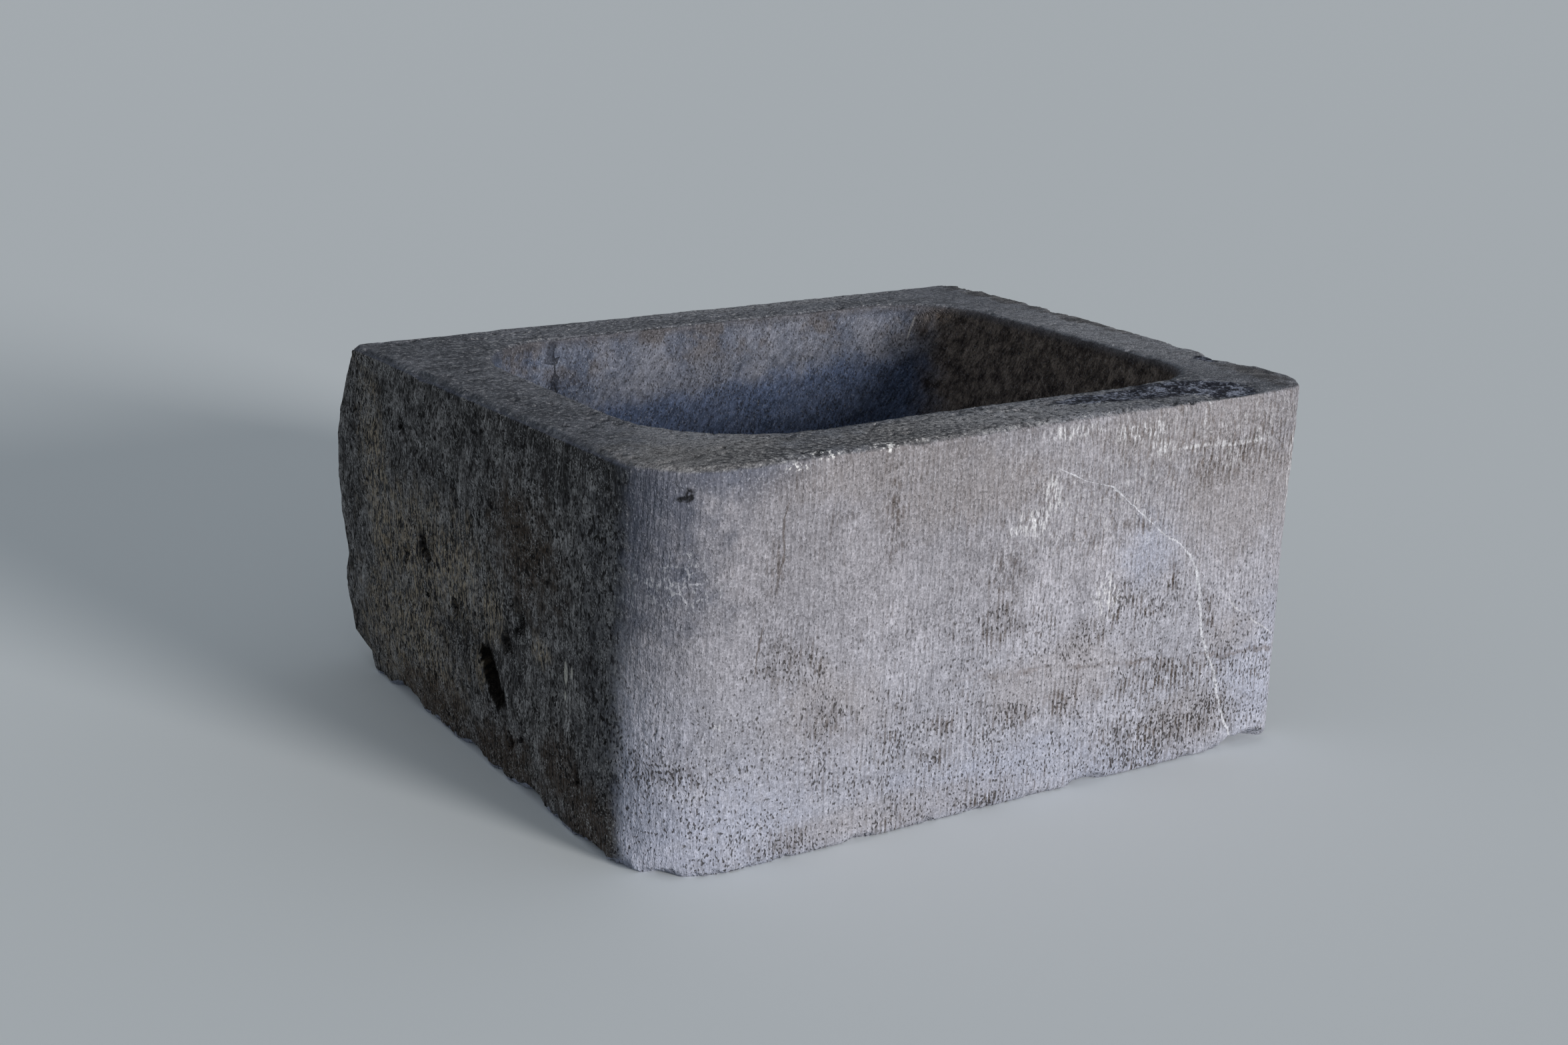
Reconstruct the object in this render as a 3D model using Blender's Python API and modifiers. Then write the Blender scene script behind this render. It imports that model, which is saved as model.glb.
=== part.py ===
"""An old stone sink, cut by hand from one block of limestone.

The block is a loft between a base outline and a slightly wider top outline, neither of
them quite square. Its front and sides are dressed, its rear is left rock-faced and
bulges out. The basin is hollowed out of it with drafted walls, a coved foot and a floor
that falls to the drain. Wear, chips and a natural cavity are cut last.

Metres, +Z up, the front face towards -Y. The origin is on the ground under the middle
of the finished block.
"""

import math

import bmesh
import bpy
from mathutils import Matrix, Vector, noise

# Top of the block, between the points where its face lines would meet.
FRONT_WIDTH = 0.680
LEFT_DEPTH = 0.594
RIGHT_DEPTH = 0.587
HEIGHT = 0.350
LEFT_SPLAY = 0.025
RIGHT_SPLAY = 0.024

# How far the foot of each face stands back from the top of it.
FRONT_BATTER = 0.009
RIGHT_BATTER = 0.003
LEFT_FRONT_BATTER = -0.013
LEFT_BACK_BATTER = 0.019

# Upright corners of the block, from front left round to back left.
FRONT_LEFT_RADIUS = 0.080
FRONT_RIGHT_RADIUS = 0.032
BACK_RIGHT_RADIUS = 0.012
BACK_LEFT_RADIUS = 0.011

# Rock-faced rear: how far it bulges past the top edge at most, and its two end profiles
# from the base to the top, as shares of the height and of the bulge. Both profiles have
# the same heights, and the rear runs straight between them before it is pitched.
REAR_BULGE = 0.0884
REAR_LEFT_PROFILE_SHARES = (
    (0.00, 0.28), (0.06, 0.36), (0.09, 0.84), (0.16, 0.90), (0.22, 1.00), (0.28, 0.98),
    (0.33, 0.82), (0.39, 0.88), (0.46, 0.92), (0.54, 0.90), (0.62, 0.86), (0.70, 0.80),
    (0.78, 0.62), (0.86, 0.40), (0.93, 0.18), (0.97, 0.05), (1.00, 0.00),
)
REAR_RIGHT_PROFILE_SHARES = (
    (0.00, 0.30), (0.06, 0.48), (0.09, 0.60), (0.16, 0.74), (0.22, 0.82), (0.28, 0.86),
    (0.33, 0.88), (0.39, 0.90), (0.46, 0.88), (0.54, 0.82), (0.62, 0.75), (0.70, 0.64),
    (0.78, 0.51), (0.86, 0.34), (0.93, 0.16), (0.97, 0.05), (1.00, 0.00),
)

# The pitching tool leaves scoops about this deep and this far apart, and it cuts no less
# than the least share of that. Each scoop rises from its bottom by the steepness, and its
# depth and tilt vary by these shares of the depth, drawn from a grid of chances this share
# of the spacing wide. The scoops run out below a straight top edge.
PITCHED_DEPTH = 0.018
PITCHED_SPACING = 0.085
PITCHED_RUN_OUT = 0.045
PITCHED_LEAST_SHARE = 0.35
PITCHED_STEEPNESS_SHARE = 1.8
PITCHED_VARIATION_SHARE = 0.35
PITCHED_TILT_SHARE = 0.7
CHANCE_GRID_SHARE = 0.01

# Unevenness of the dressed faces, and the worn edges along the top and the foot.
DRESSED_DEPTH = 0.0025
DRESSED_SPACING = 0.160
TOP_ARRIS = 0.006
FOOT_ARRIS = 0.005

# Width of the rim on each side, which places the mouth of the basin.
FRONT_RIM = 0.076
BACK_RIM_LEFT = 0.075
BACK_RIM_RIGHT = 0.068
LEFT_RIM_FRONT = 0.068
LEFT_RIM_BACK = 0.081
RIGHT_RIM_FRONT = 0.058
RIGHT_RIM_BACK = 0.086

# The basin: corner radii from front left round to back left, draft, cove and floor.
BASIN_FRONT_LEFT_RADIUS = 0.125
BASIN_FRONT_RIGHT_RADIUS = 0.068
BASIN_BACK_RIGHT_RADIUS = 0.095
BASIN_BACK_LEFT_RADIUS = 0.100
BASIN_ARRIS = 0.005
BASIN_DRAFT = 0.016
BASIN_COVE = 0.034
FLOOR_THICKNESS = 0.095
FLOOR_FALL = 0.008

# The drain: a bore through the floor under a shallow round seat for its grating.
DRAIN_RADIUS = 0.025
SEAT_RADIUS = 0.045
SEAT_DEPTH = 0.006
DRAIN_ACROSS_SHARE = 0.50
DRAIN_BACK_SHARE = 0.52

# Worn hollow in the front arris near its right end, where the sink was used most.
WORN_LENGTH = 0.230
WORN_WIDTH = 0.100
WORN_DEPTH = 0.007
WORN_ALONG_SHARE = 0.86

# Natural cavity in the left face: one deep pocket and two smaller ones beside it.
CAVITY_WIDTH = 0.050
CAVITY_HEIGHT = 0.062
CAVITY_DEPTH = 0.030
CAVITY_BACK_SHARE = 0.487
CAVITY_UP_SHARE = 0.300
CAVITY_LOBE_SHARES = ((0.0, 0.0, 1.0), (-0.55, -0.42, 0.55), (0.50, 0.55, 0.50))

# Chips off the arrises. Each list gives a chip's place, as a share of its edge from the
# front or from the left, and its size, as a share of a full chip.
CHIP_LENGTH = 0.100
CHIP_WIDTH = 0.042
CHIP_DEPTH = 0.014
TOP_RIGHT_CHIP_SHARES = ((0.20, 0.80), (0.44, 0.55), (0.62, 1.00), (0.80, 0.70))
TOP_LEFT_CHIP_SHARES = ((0.30, 0.45), (0.72, 0.60))
TOP_FRONT_CHIP_SHARES = ((0.36, 0.40), (0.93, 0.55))
FOOT_LEFT_CHIP_SHARES = ((0.16, 0.55), (0.38, 0.80), (0.60, 0.70), (0.88, 1.00))
FOOT_FRONT_CHIP_SHARES = ((0.30, 0.45), (0.66, 0.60), (0.94, 0.90))
BROKEN_CORNER = 0.110
BROKEN_CORNER_DEPTH = 0.026

# Steps along each side of the block, from the front round to the left, and along each
# side of the basin, then rows for each stretch of the rear's profiles, close enough to show
# its scoops. Then steps of a corner, an arris, the cove, the wall and the floor.
BLOCK_SIDE_STEPS = (10, 12, 56, 12)
BASIN_SIDE_STEPS = (8, 8, 8, 8)
REAR_ROW_STEPS = 2
ARC_STEPS = 7
ARRIS_STEPS = 3
COVE_STEPS = 6
WALL_STEPS = 4
FLOOR_STEPS = 4
TURN_STEPS = 48

# A scoop's ball has its centre this share of its own height above the face it cuts.
SCOOP_RAISE_SHARE = 0.75

# How far a cutter runs past the face it opens.
OVERRUN = 0.010

STONE_COLOUR = (0.25, 0.232, 0.232, 1.0)
STONE_ROUGHNESS = 0.88


def fresh_collection(name):
    """Return a new collection linked to the scene."""
    collection = bpy.data.collections.new(name)
    bpy.context.scene.collection.children.link(collection)
    return collection


def stone_material():
    """The matt blue-grey limestone."""
    material = bpy.data.materials.new("limestone")
    material.use_nodes = True
    shader = material.node_tree.nodes["Principled BSDF"]
    shader.inputs["Base Color"].default_value = STONE_COLOUR
    shader.inputs["Roughness"].default_value = STONE_ROUGHNESS
    shader.inputs["Metallic"].default_value = 0.0
    return material


def between(start, end, share):
    """The point at a share of the way from start to end, or the same for numbers."""
    return start + (end - start) * share


def profile_value(profile, share):
    """Read a profile of (share, value) pairs at a share, straight between its pairs."""
    for (low, low_value), (high, high_value) in zip(profile, profile[1:]):
        if share <= high:
            return between(low_value, high_value, (share - low) / (high - low))
    return profile[-1][1]


def top_corners():
    """Corners of the top, from front left round to back left."""
    return [
        Vector((0.0, 0.0)),
        Vector((FRONT_WIDTH, 0.0)),
        Vector((FRONT_WIDTH + RIGHT_SPLAY, RIGHT_DEPTH)),
        Vector((-LEFT_SPLAY, LEFT_DEPTH)),
    ]


def foot_corners():
    """Corners of the base, in the same order."""
    front_left, front_right, back_right, back_left = top_corners()
    return [
        front_left + Vector((LEFT_FRONT_BATTER, FRONT_BATTER)),
        front_right + Vector((-RIGHT_BATTER, FRONT_BATTER)),
        back_right + Vector((-RIGHT_BATTER, 0.0)),
        back_left + Vector((LEFT_BACK_BATTER, 0.0)),
    ]


def mouth_corners():
    """Corners of the basin's mouth, set in from the top by the rim's widths."""
    front_left, front_right, back_right, back_left = top_corners()
    return [
        front_left + Vector((LEFT_RIM_FRONT, FRONT_RIM)),
        front_right + Vector((-RIGHT_RIM_FRONT, FRONT_RIM)),
        back_right + Vector((-RIGHT_RIM_BACK, -BACK_RIM_RIGHT)),
        back_left + Vector((LEFT_RIM_BACK, -BACK_RIM_LEFT)),
    ]


def inset(corners, distance):
    """Move every side of a four-cornered outline in by a distance."""
    moved = []
    for index, corner in enumerate(corners):
        to_next = (corners[(index + 1) % 4] - corner).normalized()
        to_last = (corners[index - 1] - corner).normalized()
        angle = to_next.angle(to_last)
        moved.append(corner + (to_next + to_last) * distance / math.sin(angle))
    return moved


def rounded_outline(corners, radii, side_steps):
    """Points round a four-cornered outline with an arc at each corner."""
    arcs = []
    for index, (corner, radius) in enumerate(zip(corners, radii)):
        to_next = (corners[(index + 1) % 4] - corner).normalized()
        to_last = (corners[index - 1] - corner).normalized()
        half = to_next.angle(to_last) / 2
        centre = corner + (to_next + to_last).normalized() * radius / math.sin(half)
        start = corner + to_last * radius / math.tan(half) - centre
        sweep = math.pi - 2 * half
        arc = []
        for step in range(ARC_STEPS + 1):
            turn = Matrix.Rotation(sweep * step / ARC_STEPS, 2)
            arc.append(centre + turn @ start)
        arcs.append(arc)
    points = []
    for index, (arc, steps) in enumerate(zip(arcs, side_steps)):
        following = arcs[(index + 1) % 4][0]
        points += arc
        points += [between(arc[-1], following, step / steps) for step in range(1, steps)]
    return points


def pitched_share(place):
    """How deep the rear is pitched at a place, as a share of the full depth: the deepest
    of the scoops round about, so that sharp ridges stand between them."""
    scaled = place / PITCHED_SPACING
    deepest = PITCHED_LEAST_SHARE
    for middle in noise.voronoi(scaled)[1]:
        chance = noise.cell_vector(middle / CHANCE_GRID_SHARE) * 2 - Vector((1, 1, 1))
        across = scaled - middle
        share = 1 + PITCHED_VARIATION_SHARE * chance.y + PITCHED_TILT_SHARE * chance.dot(across)
        deepest = max(deepest, share - PITCHED_STEEPNESS_SHARE * across.length_squared)
    return deepest * min(1.0, (HEIGHT - place.z) / PITCHED_RUN_OUT)


def hewn(points, height, depth, pitched_depth):
    """Lift a flat outline to a height, with the mason's unevenness along its normals. The
    scoops of the rock-faced rear are taken straight forward, so that its upright corners
    keep their order however small their radii are."""
    ring = []
    for index, point in enumerate(points):
        along = points[(index + 1) % len(points)] - points[index - 1]
        normal = Vector((along.y, -along.x)).normalized()
        place = Vector((point.x, point.y, height))
        unevenness = normal.to_3d() * depth * noise.noise(place / DRESSED_SPACING)
        scoop = pitched_depth * pitched_share(place) * max(0.0, normal.y) ** 2
        ring.append(place + unevenness - Vector((0.0, scoop, 0.0)))
    return ring


def skin(name, rings, collection):
    """Skin rings of equal count, listed from the bottom up, into a closed solid."""
    shell = bmesh.new()
    loops = [[shell.verts.new(point) for point in ring] for ring in rings]
    for lower, upper in zip(loops, loops[1:]):
        for index in range(len(lower)):
            after = (index + 1) % len(lower)
            shell.faces.new((lower[index], lower[after], upper[after], upper[index]))
    shell.faces.new(reversed(loops[0]))
    shell.faces.new(loops[-1])
    mesh = bpy.data.meshes.new(name)
    shell.to_mesh(mesh)
    shell.free()
    solid = bpy.data.objects.new(name, mesh)
    collection.objects.link(solid)
    return solid


def arris_rows(radius):
    """Rows of a worn arris as (height left to the face, inset), from the edge inwards."""
    rows = []
    for step in range(ARRIS_STEPS + 1):
        angle = math.pi / 2 * step / ARRIS_STEPS
        rows.append((radius * (1 - math.sin(angle)), radius * (1 - math.cos(angle))))
    return rows


def make_block(collection):
    """The outer form: a loft from the foot to the top with a rock-faced rear."""
    radii = (FRONT_LEFT_RADIUS, FRONT_RIGHT_RADIUS, BACK_RIGHT_RADIUS, BACK_LEFT_RADIUS)
    rows = [(below, drawn_in) for below, drawn_in in reversed(arris_rows(FOOT_ARRIS))]
    lowest = FOOT_ARRIS / HEIGHT
    highest = 1 - TOP_ARRIS / HEIGHT
    heights = [share for share, _ in REAR_LEFT_PROFILE_SHARES]
    for low, high in zip(heights, heights[1:]):
        for step in range(REAR_ROW_STEPS):
            share = between(low, high, step / REAR_ROW_STEPS)
            if lowest < share < highest:
                rows.append((share * HEIGHT, 0.0))
    rows += [(HEIGHT - above, drawn_in) for above, drawn_in in arris_rows(TOP_ARRIS)]
    rings = []
    for height, drawn_in in rows:
        share = height / HEIGHT
        corners = [between(foot, top, share) for foot, top in zip(foot_corners(), top_corners())]
        corners[2].y += REAR_BULGE * profile_value(REAR_RIGHT_PROFILE_SHARES, share)
        corners[3].y += REAR_BULGE * profile_value(REAR_LEFT_PROFILE_SHARES, share)
        corners = inset(corners, drawn_in)
        drawn_radii = [radius - drawn_in for radius in radii]
        outline = rounded_outline(corners, drawn_radii, BLOCK_SIDE_STEPS)
        rings.append(hewn(outline, height, DRESSED_DEPTH, PITCHED_DEPTH))
    return skin("sink_block", rings, collection)


def floor_low():
    """Height of the floor where it meets the drain's seat."""
    return FLOOR_THICKNESS - FLOOR_FALL


def drain_centre():
    """Plan position of the drain, in the floor of the basin."""
    front_left, front_right, back_right, back_left = mouth_corners()
    left = between(front_left, back_left, DRAIN_BACK_SHARE)
    right = between(front_right, back_right, DRAIN_BACK_SHARE)
    return between(left, right, DRAIN_ACROSS_SHARE)


def make_basin_cutter(collection):
    """The hollow: a loft from the seat's circle, over the falling floor, up the cove and
    the drafted wall to the worn arris of the mouth."""
    corners = mouth_corners()
    radii = (
        BASIN_FRONT_LEFT_RADIUS, BASIN_FRONT_RIGHT_RADIUS,
        BASIN_BACK_RIGHT_RADIUS, BASIN_BACK_LEFT_RADIUS,
    )
    rows = []
    for step in range(COVE_STEPS + 1):
        angle = math.pi / 2 * step / COVE_STEPS
        height = FLOOR_THICKNESS + BASIN_COVE * (1 - math.cos(angle))
        rows.append((height, BASIN_DRAFT + BASIN_COVE * (1 - math.sin(angle))))
    foot_of_wall = FLOOR_THICKNESS + BASIN_COVE
    top_of_wall = HEIGHT - BASIN_ARRIS
    for step in range(1, WALL_STEPS):
        share = step / WALL_STEPS
        rows.append((between(foot_of_wall, top_of_wall, share), BASIN_DRAFT * (1 - share)))
    for below, drawn_in in reversed(arris_rows(BASIN_ARRIS)):
        rows.append((HEIGHT - BASIN_ARRIS + below, drawn_in - BASIN_ARRIS))
    rings = []
    for height, drawn_in in rows:
        moved = inset(corners, drawn_in)
        drawn_radii = [radius - drawn_in for radius in radii]
        outline = rounded_outline(moved, drawn_radii, BASIN_SIDE_STEPS)
        rings.append(hewn(outline, height, DRESSED_DEPTH, 0.0))
    rings.append([point + Vector((0.0, 0.0, OVERRUN)) for point in rings[-1]])
    edge = rings[0]
    centre = drain_centre().to_3d()
    floor_rings = []
    for step in range(FLOOR_STEPS):
        share = step / FLOOR_STEPS
        ring = []
        for point in edge:
            outward = (point - centre).to_2d().normalized().to_3d()
            inner = centre + outward * SEAT_RADIUS
            place = between(inner, point, share)
            place.z = between(floor_low(), FLOOR_THICKNESS, share)
            ring.append(place)
        floor_rings.append(ring)
    return skin("basin_cutter", floor_rings + rings, collection)


def make_drain_cutter(collection):
    """The drain's bore and round seat, turned from one profile."""
    seat_height = floor_low() - SEAT_DEPTH
    profile = (
        (0.0, floor_low() + OVERRUN), (SEAT_RADIUS, floor_low() + OVERRUN),
        (SEAT_RADIUS, seat_height), (DRAIN_RADIUS, seat_height),
        (DRAIN_RADIUS, -OVERRUN), (0.0, -OVERRUN),
    )
    outline = bmesh.new()
    points = [outline.verts.new((radius, 0.0, height)) for radius, height in profile]
    for lower, upper in zip(points, points[1:]):
        outline.edges.new((lower, upper))
    mesh = bpy.data.meshes.new("drain_cutter")
    outline.to_mesh(mesh)
    outline.free()
    cutter = bpy.data.objects.new("drain_cutter", mesh)
    collection.objects.link(cutter)
    cutter.location = drain_centre().to_3d()
    turn = cutter.modifiers.new("turn", "SCREW")
    turn.steps = TURN_STEPS
    turn.render_steps = TURN_STEPS
    turn.use_merge_vertices = True
    turn.merge_threshold = OVERRUN / 1000
    return cutter


def add_scoop(name, place, size, normal, run, raise_share, subdivisions, collection):
    """A stretched ball that takes a scoop of size (length, width, depth) out of a face or
    an edge at a place. The length lies along run and the depth along -normal."""
    length, width, depth = size
    narrowing = math.sqrt(1 - raise_share ** 2)
    height = depth / (1 - raise_share)
    side = normal.cross(run).normalized()
    axes = Matrix((run.normalized(), side, normal.normalized())).transposed().to_4x4()
    stretch = Matrix.Diagonal((length / 2 / narrowing, width / 2 / narrowing, height, 1.0))
    centre = Matrix.Translation(place + normal.normalized() * height * raise_share)
    ball = bmesh.new()
    bmesh.ops.create_icosphere(
        ball, subdivisions=subdivisions, radius=1.0, matrix=centre @ axes @ stretch)
    mesh = bpy.data.meshes.new(name)
    ball.to_mesh(mesh)
    ball.free()
    collection.objects.link(bpy.data.objects.new(name, mesh))


def make_wear_cutter(collection):
    """The shallow worn hollow in the front arris."""
    front_left, front_right = top_corners()[:2]
    place = between(front_left, front_right, WORN_ALONG_SHARE).to_3d()
    place.z = HEIGHT
    up = Vector((0, 0, 1))
    along = front_right - front_left
    size = (WORN_LENGTH, WORN_WIDTH, WORN_DEPTH)
    add_scoop("wear_cutter", place, size, up, along.to_3d(), SCOOP_RAISE_SHARE, 4, collection)


def make_cavity_cutters(collection):
    """The natural cavity, one cutter for each of its pockets."""
    feet = foot_corners()
    tops = top_corners()
    foot = between(feet[0], feet[3], CAVITY_BACK_SHARE)
    top = between(tops[0], tops[3], CAVITY_BACK_SHARE)
    middle = between(foot, top, CAVITY_UP_SHARE).to_3d()
    middle.z = HEIGHT * CAVITY_UP_SHARE
    up = Vector((0, 0, 1))
    left = Vector((-1, 0, 0))
    for back_share, up_share, size_share in CAVITY_LOBE_SHARES:
        place = middle + Vector((0.0, back_share * CAVITY_WIDTH, up_share * CAVITY_HEIGHT))
        size = Vector((CAVITY_HEIGHT, CAVITY_WIDTH, CAVITY_DEPTH)) * size_share
        add_scoop("cavity_cutter", place, size, left, up, 0.0, 2, collection)


def make_chip_cutters(collection):
    """Chips along the arrises of the top and the foot, and the broken back corner."""
    up = Vector((0, 0, 1))
    left = Vector((-1, 0, 0))
    right = Vector((1, 0, 0))
    front = Vector((0, -1, 0))
    tops = [corner.to_3d() + up * HEIGHT for corner in top_corners()]
    feet = [corner.to_3d() for corner in foot_corners()]
    edges = (
        (tops[1], tops[2], right + up, TOP_RIGHT_CHIP_SHARES),
        (tops[0], tops[3], left + up, TOP_LEFT_CHIP_SHARES),
        (tops[0], tops[1], front + up, TOP_FRONT_CHIP_SHARES),
        (feet[0], feet[3], left - up, FOOT_LEFT_CHIP_SHARES),
        (feet[0], feet[1], front - up, FOOT_FRONT_CHIP_SHARES),
    )
    for start, end, normal, chips in edges:
        for along_share, size_share in chips:
            place = between(start, end, along_share)
            size = Vector((CHIP_LENGTH, CHIP_WIDTH, CHIP_DEPTH)) * size_share
            add_scoop(
                "chip_cutter", place, size, normal, end - start, SCOOP_RAISE_SHARE, 2, collection)
    size = (BROKEN_CORNER, BROKEN_CORNER, BROKEN_CORNER_DEPTH)
    outward = right - front + up
    add_scoop(
        "corner_cutter", tops[2], size, outward, front + right, SCOOP_RAISE_SHARE, 2, collection)


def cut_away(solid, cutters):
    """Cut a collection of cutters out of the solid in one go, because they may overlap,
    and keep them out of the render."""
    for cutter in cutters.objects:
        cutter.hide_render = True
        cutter.display_type = "WIRE"
    cut = solid.modifiers.new("hollows_and_chips", "BOOLEAN")
    cut.operation = "DIFFERENCE"
    cut.operand_type = "COLLECTION"
    cut.collection = cutters


def stand_on_origin(solid, cutters):
    """Hang everything on an empty that brings the middle of the base to the origin."""
    stand = bpy.data.objects.new("stone_sink_origin", None)
    bpy.context.scene.collection.objects.link(stand)
    bpy.context.view_layer.update()
    finished = solid.evaluated_get(bpy.context.evaluated_depsgraph_get())
    corners = [Vector(corner) for corner in finished.bound_box]
    middle = (corners[0] + corners[6]) / 2
    for piece in [solid, *cutters.objects]:
        piece.parent = stand
    stand.location = (-middle.x, -middle.y, 0.0)


def build():
    for leftover in list(bpy.data.objects):
        bpy.data.objects.remove(leftover)
    parts = fresh_collection("stone_sink")
    cutters = fresh_collection("cutters")
    block = make_block(parts)
    block.data.materials.append(stone_material())
    make_basin_cutter(cutters)
    make_drain_cutter(cutters)
    make_wear_cutter(cutters)
    make_cavity_cutters(cutters)
    make_chip_cutters(cutters)
    cut_away(block, cutters)
    stand_on_origin(block, cutters)


build()
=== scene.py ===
import math

import bmesh
import bpy
import numpy as np
from mathutils import Matrix, Vector, noise


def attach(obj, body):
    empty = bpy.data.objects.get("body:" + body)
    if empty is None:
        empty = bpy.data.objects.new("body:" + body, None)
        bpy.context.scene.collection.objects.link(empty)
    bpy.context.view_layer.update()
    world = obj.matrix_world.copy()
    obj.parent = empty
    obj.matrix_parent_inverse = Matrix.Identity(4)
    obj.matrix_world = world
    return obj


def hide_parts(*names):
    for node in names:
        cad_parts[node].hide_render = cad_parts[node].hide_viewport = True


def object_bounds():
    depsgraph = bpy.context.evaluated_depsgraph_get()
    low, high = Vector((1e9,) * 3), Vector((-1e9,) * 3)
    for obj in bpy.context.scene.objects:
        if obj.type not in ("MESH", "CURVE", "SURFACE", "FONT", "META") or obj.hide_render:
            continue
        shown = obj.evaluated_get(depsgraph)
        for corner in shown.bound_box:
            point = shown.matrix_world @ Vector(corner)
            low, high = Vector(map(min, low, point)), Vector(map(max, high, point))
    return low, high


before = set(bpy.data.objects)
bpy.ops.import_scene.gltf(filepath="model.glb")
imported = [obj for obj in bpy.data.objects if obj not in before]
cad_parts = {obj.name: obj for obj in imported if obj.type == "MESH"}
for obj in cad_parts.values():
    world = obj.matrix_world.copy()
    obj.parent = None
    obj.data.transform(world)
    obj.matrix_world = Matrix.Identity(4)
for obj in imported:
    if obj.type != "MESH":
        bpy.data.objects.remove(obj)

cad_low, cad_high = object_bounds()
bpy.ops.object.select_all(action="DESELECT")

# The block: one piece of limestone that a mason squared by eye, so no two sides are alike.
# It is made from a circle round the drain's bore, which is extruded out to the foot, up
# the faces, over the rim, down into the basin and back to the bore.
FRONT_WIDTH = 0.680
LEFT_DEPTH = 0.594
RIGHT_DEPTH = 0.587
HEIGHT = cad_high.z
LEFT_SPLAY = 0.025
RIGHT_SPLAY = 0.024
FRONT_BATTER = 0.009
RIGHT_BATTER = 0.003
LEFT_FRONT_BATTER = -0.013
LEFT_BACK_BATTER = 0.019
# Corners run from back left over front left and front right to back right, and sides from
# the left one over the front and the right one to the back.
OUTER_RADII = (0.011, 0.080, 0.032, 0.012)
CORNER_CUTS = (40, 100, 48, 40)
SIDE_CUTS = (312, 460, 216, 176)
# The front left corner of the top, before it is rounded, stands here in the frame, and its
# rounding starts at this column.
FRONT_LEFT = np.array((-0.3395, -0.3370))
ARC_START = CORNER_CUTS[0] + SIDE_CUTS[0]

top_corners = FRONT_LEFT + np.array((
    (-LEFT_SPLAY, LEFT_DEPTH), (0.0, 0.0), (FRONT_WIDTH, 0.0),
    (FRONT_WIDTH + RIGHT_SPLAY, RIGHT_DEPTH)))
foot_corners = top_corners + np.array((
    (LEFT_BACK_BATTER, 0.0), (LEFT_FRONT_BATTER, FRONT_BATTER),
    (-RIGHT_BATTER, FRONT_BATTER), (-RIGHT_BATTER, 0.0)))


def unit(vector):
    return vector / np.linalg.norm(vector)


def outline(corners, radii):
    """Points round four corners, each rounded to its radius, in even steps."""
    arcs = []
    for index, (corner, radius, cuts) in enumerate(zip(corners, radii, CORNER_CUTS)):
        to_next = unit(corners[(index + 1) % 4] - corner)
        to_last = unit(corners[index - 1] - corner)
        half = math.acos(to_next @ to_last) / 2
        centre = corner + unit(to_next + to_last) * radius / math.sin(half)
        across, up = corner + to_last * radius / math.tan(half) - centre
        turns = np.linspace(0.0, math.pi - 2 * half, cuts + 1)
        arcs.append(centre + np.column_stack((
            across * np.cos(turns) - up * np.sin(turns),
            across * np.sin(turns) + up * np.cos(turns))))
    points = []
    for index, cuts in enumerate(SIDE_CUTS):
        start, end = arcs[index][-1], arcs[(index + 1) % 4][0]
        shares = np.arange(1, cuts)[:, None] / cuts
        points += [arcs[index], start + (end - start) * shares]
    return np.concatenate(points)


def inset(corners, distance):
    """Four corners with every side between them moved in."""
    moved = []
    for index, corner in enumerate(corners):
        to_next = unit(corners[(index + 1) % 4] - corner)
        to_last = unit(corners[index - 1] - corner)
        sine = math.sin(math.acos(to_next @ to_last))
        moved.append(corner + (to_next + to_last) * distance / sine)
    return np.array(moved)


# The basin is hollowed with drafted walls, a coved foot and a floor that falls to the
# drain. Its mouth is no truer than the block: each rim has its own width at each end.
LEFT_RIM_BACK = 0.081
LEFT_RIM_FRONT = 0.068
RIGHT_RIM_FRONT = 0.058
RIGHT_RIM_BACK = 0.086
FRONT_RIM = 0.076
BACK_RIM_LEFT = 0.075
BACK_RIM_RIGHT = 0.068
BASIN_RADII = np.array((0.100, 0.125, 0.068, 0.095))
BASIN_DRAFT = 0.016
FLOOR_THICKNESS = 0.095
FLOOR_FALL = 0.008
BORE_RADIUS = 0.025
SEAT_RADIUS = 0.045
SEAT_DEPTH = 0.006
DRAIN_ACROSS = 0.50
DRAIN_BACK = 0.52

mouth_corners = top_corners + np.array((
    (LEFT_RIM_BACK, -BACK_RIM_LEFT), (LEFT_RIM_FRONT, FRONT_RIM),
    (-RIGHT_RIM_FRONT, FRONT_RIM), (-RIGHT_RIM_BACK, -BACK_RIM_RIGHT)))
left_of_drain = mouth_corners[1] + (mouth_corners[0] - mouth_corners[1]) * DRAIN_BACK
right_of_drain = mouth_corners[2] + (mouth_corners[3] - mouth_corners[2]) * DRAIN_BACK
drain = left_of_drain + (right_of_drain - left_of_drain) * DRAIN_ACROSS

top_outline = outline(top_corners, OUTER_RADII)
basin_foot = outline(inset(mouth_corners, BASIN_DRAFT), BASIN_RADII - BASIN_DRAFT)
outward = basin_foot - drain
outward /= np.linalg.norm(outward, axis=1)[:, None]
floor_low = FLOOR_THICKNESS - FLOOR_FALL
# Each course is a ring of points and its height.
courses = (
    (drain + outward * BORE_RADIUS, 0.0),
    (outline(foot_corners, OUTER_RADII), 0.0),
    (top_outline, HEIGHT),
    (outline(mouth_corners, BASIN_RADII), HEIGHT),
    (basin_foot, FLOOR_THICKNESS),
    (drain + outward * SEAT_RADIUS, floor_low),
    (drain + outward * SEAT_RADIUS, floor_low - SEAT_DEPTH),
    (drain + outward * BORE_RADIUS, floor_low - SEAT_DEPTH),
    (drain + outward * BORE_RADIUS, 0.0),
)
FOOT = 1
TOP = 2
MOUTH = 3
BASIN_FOOT = 4
SEAT = 5

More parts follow.
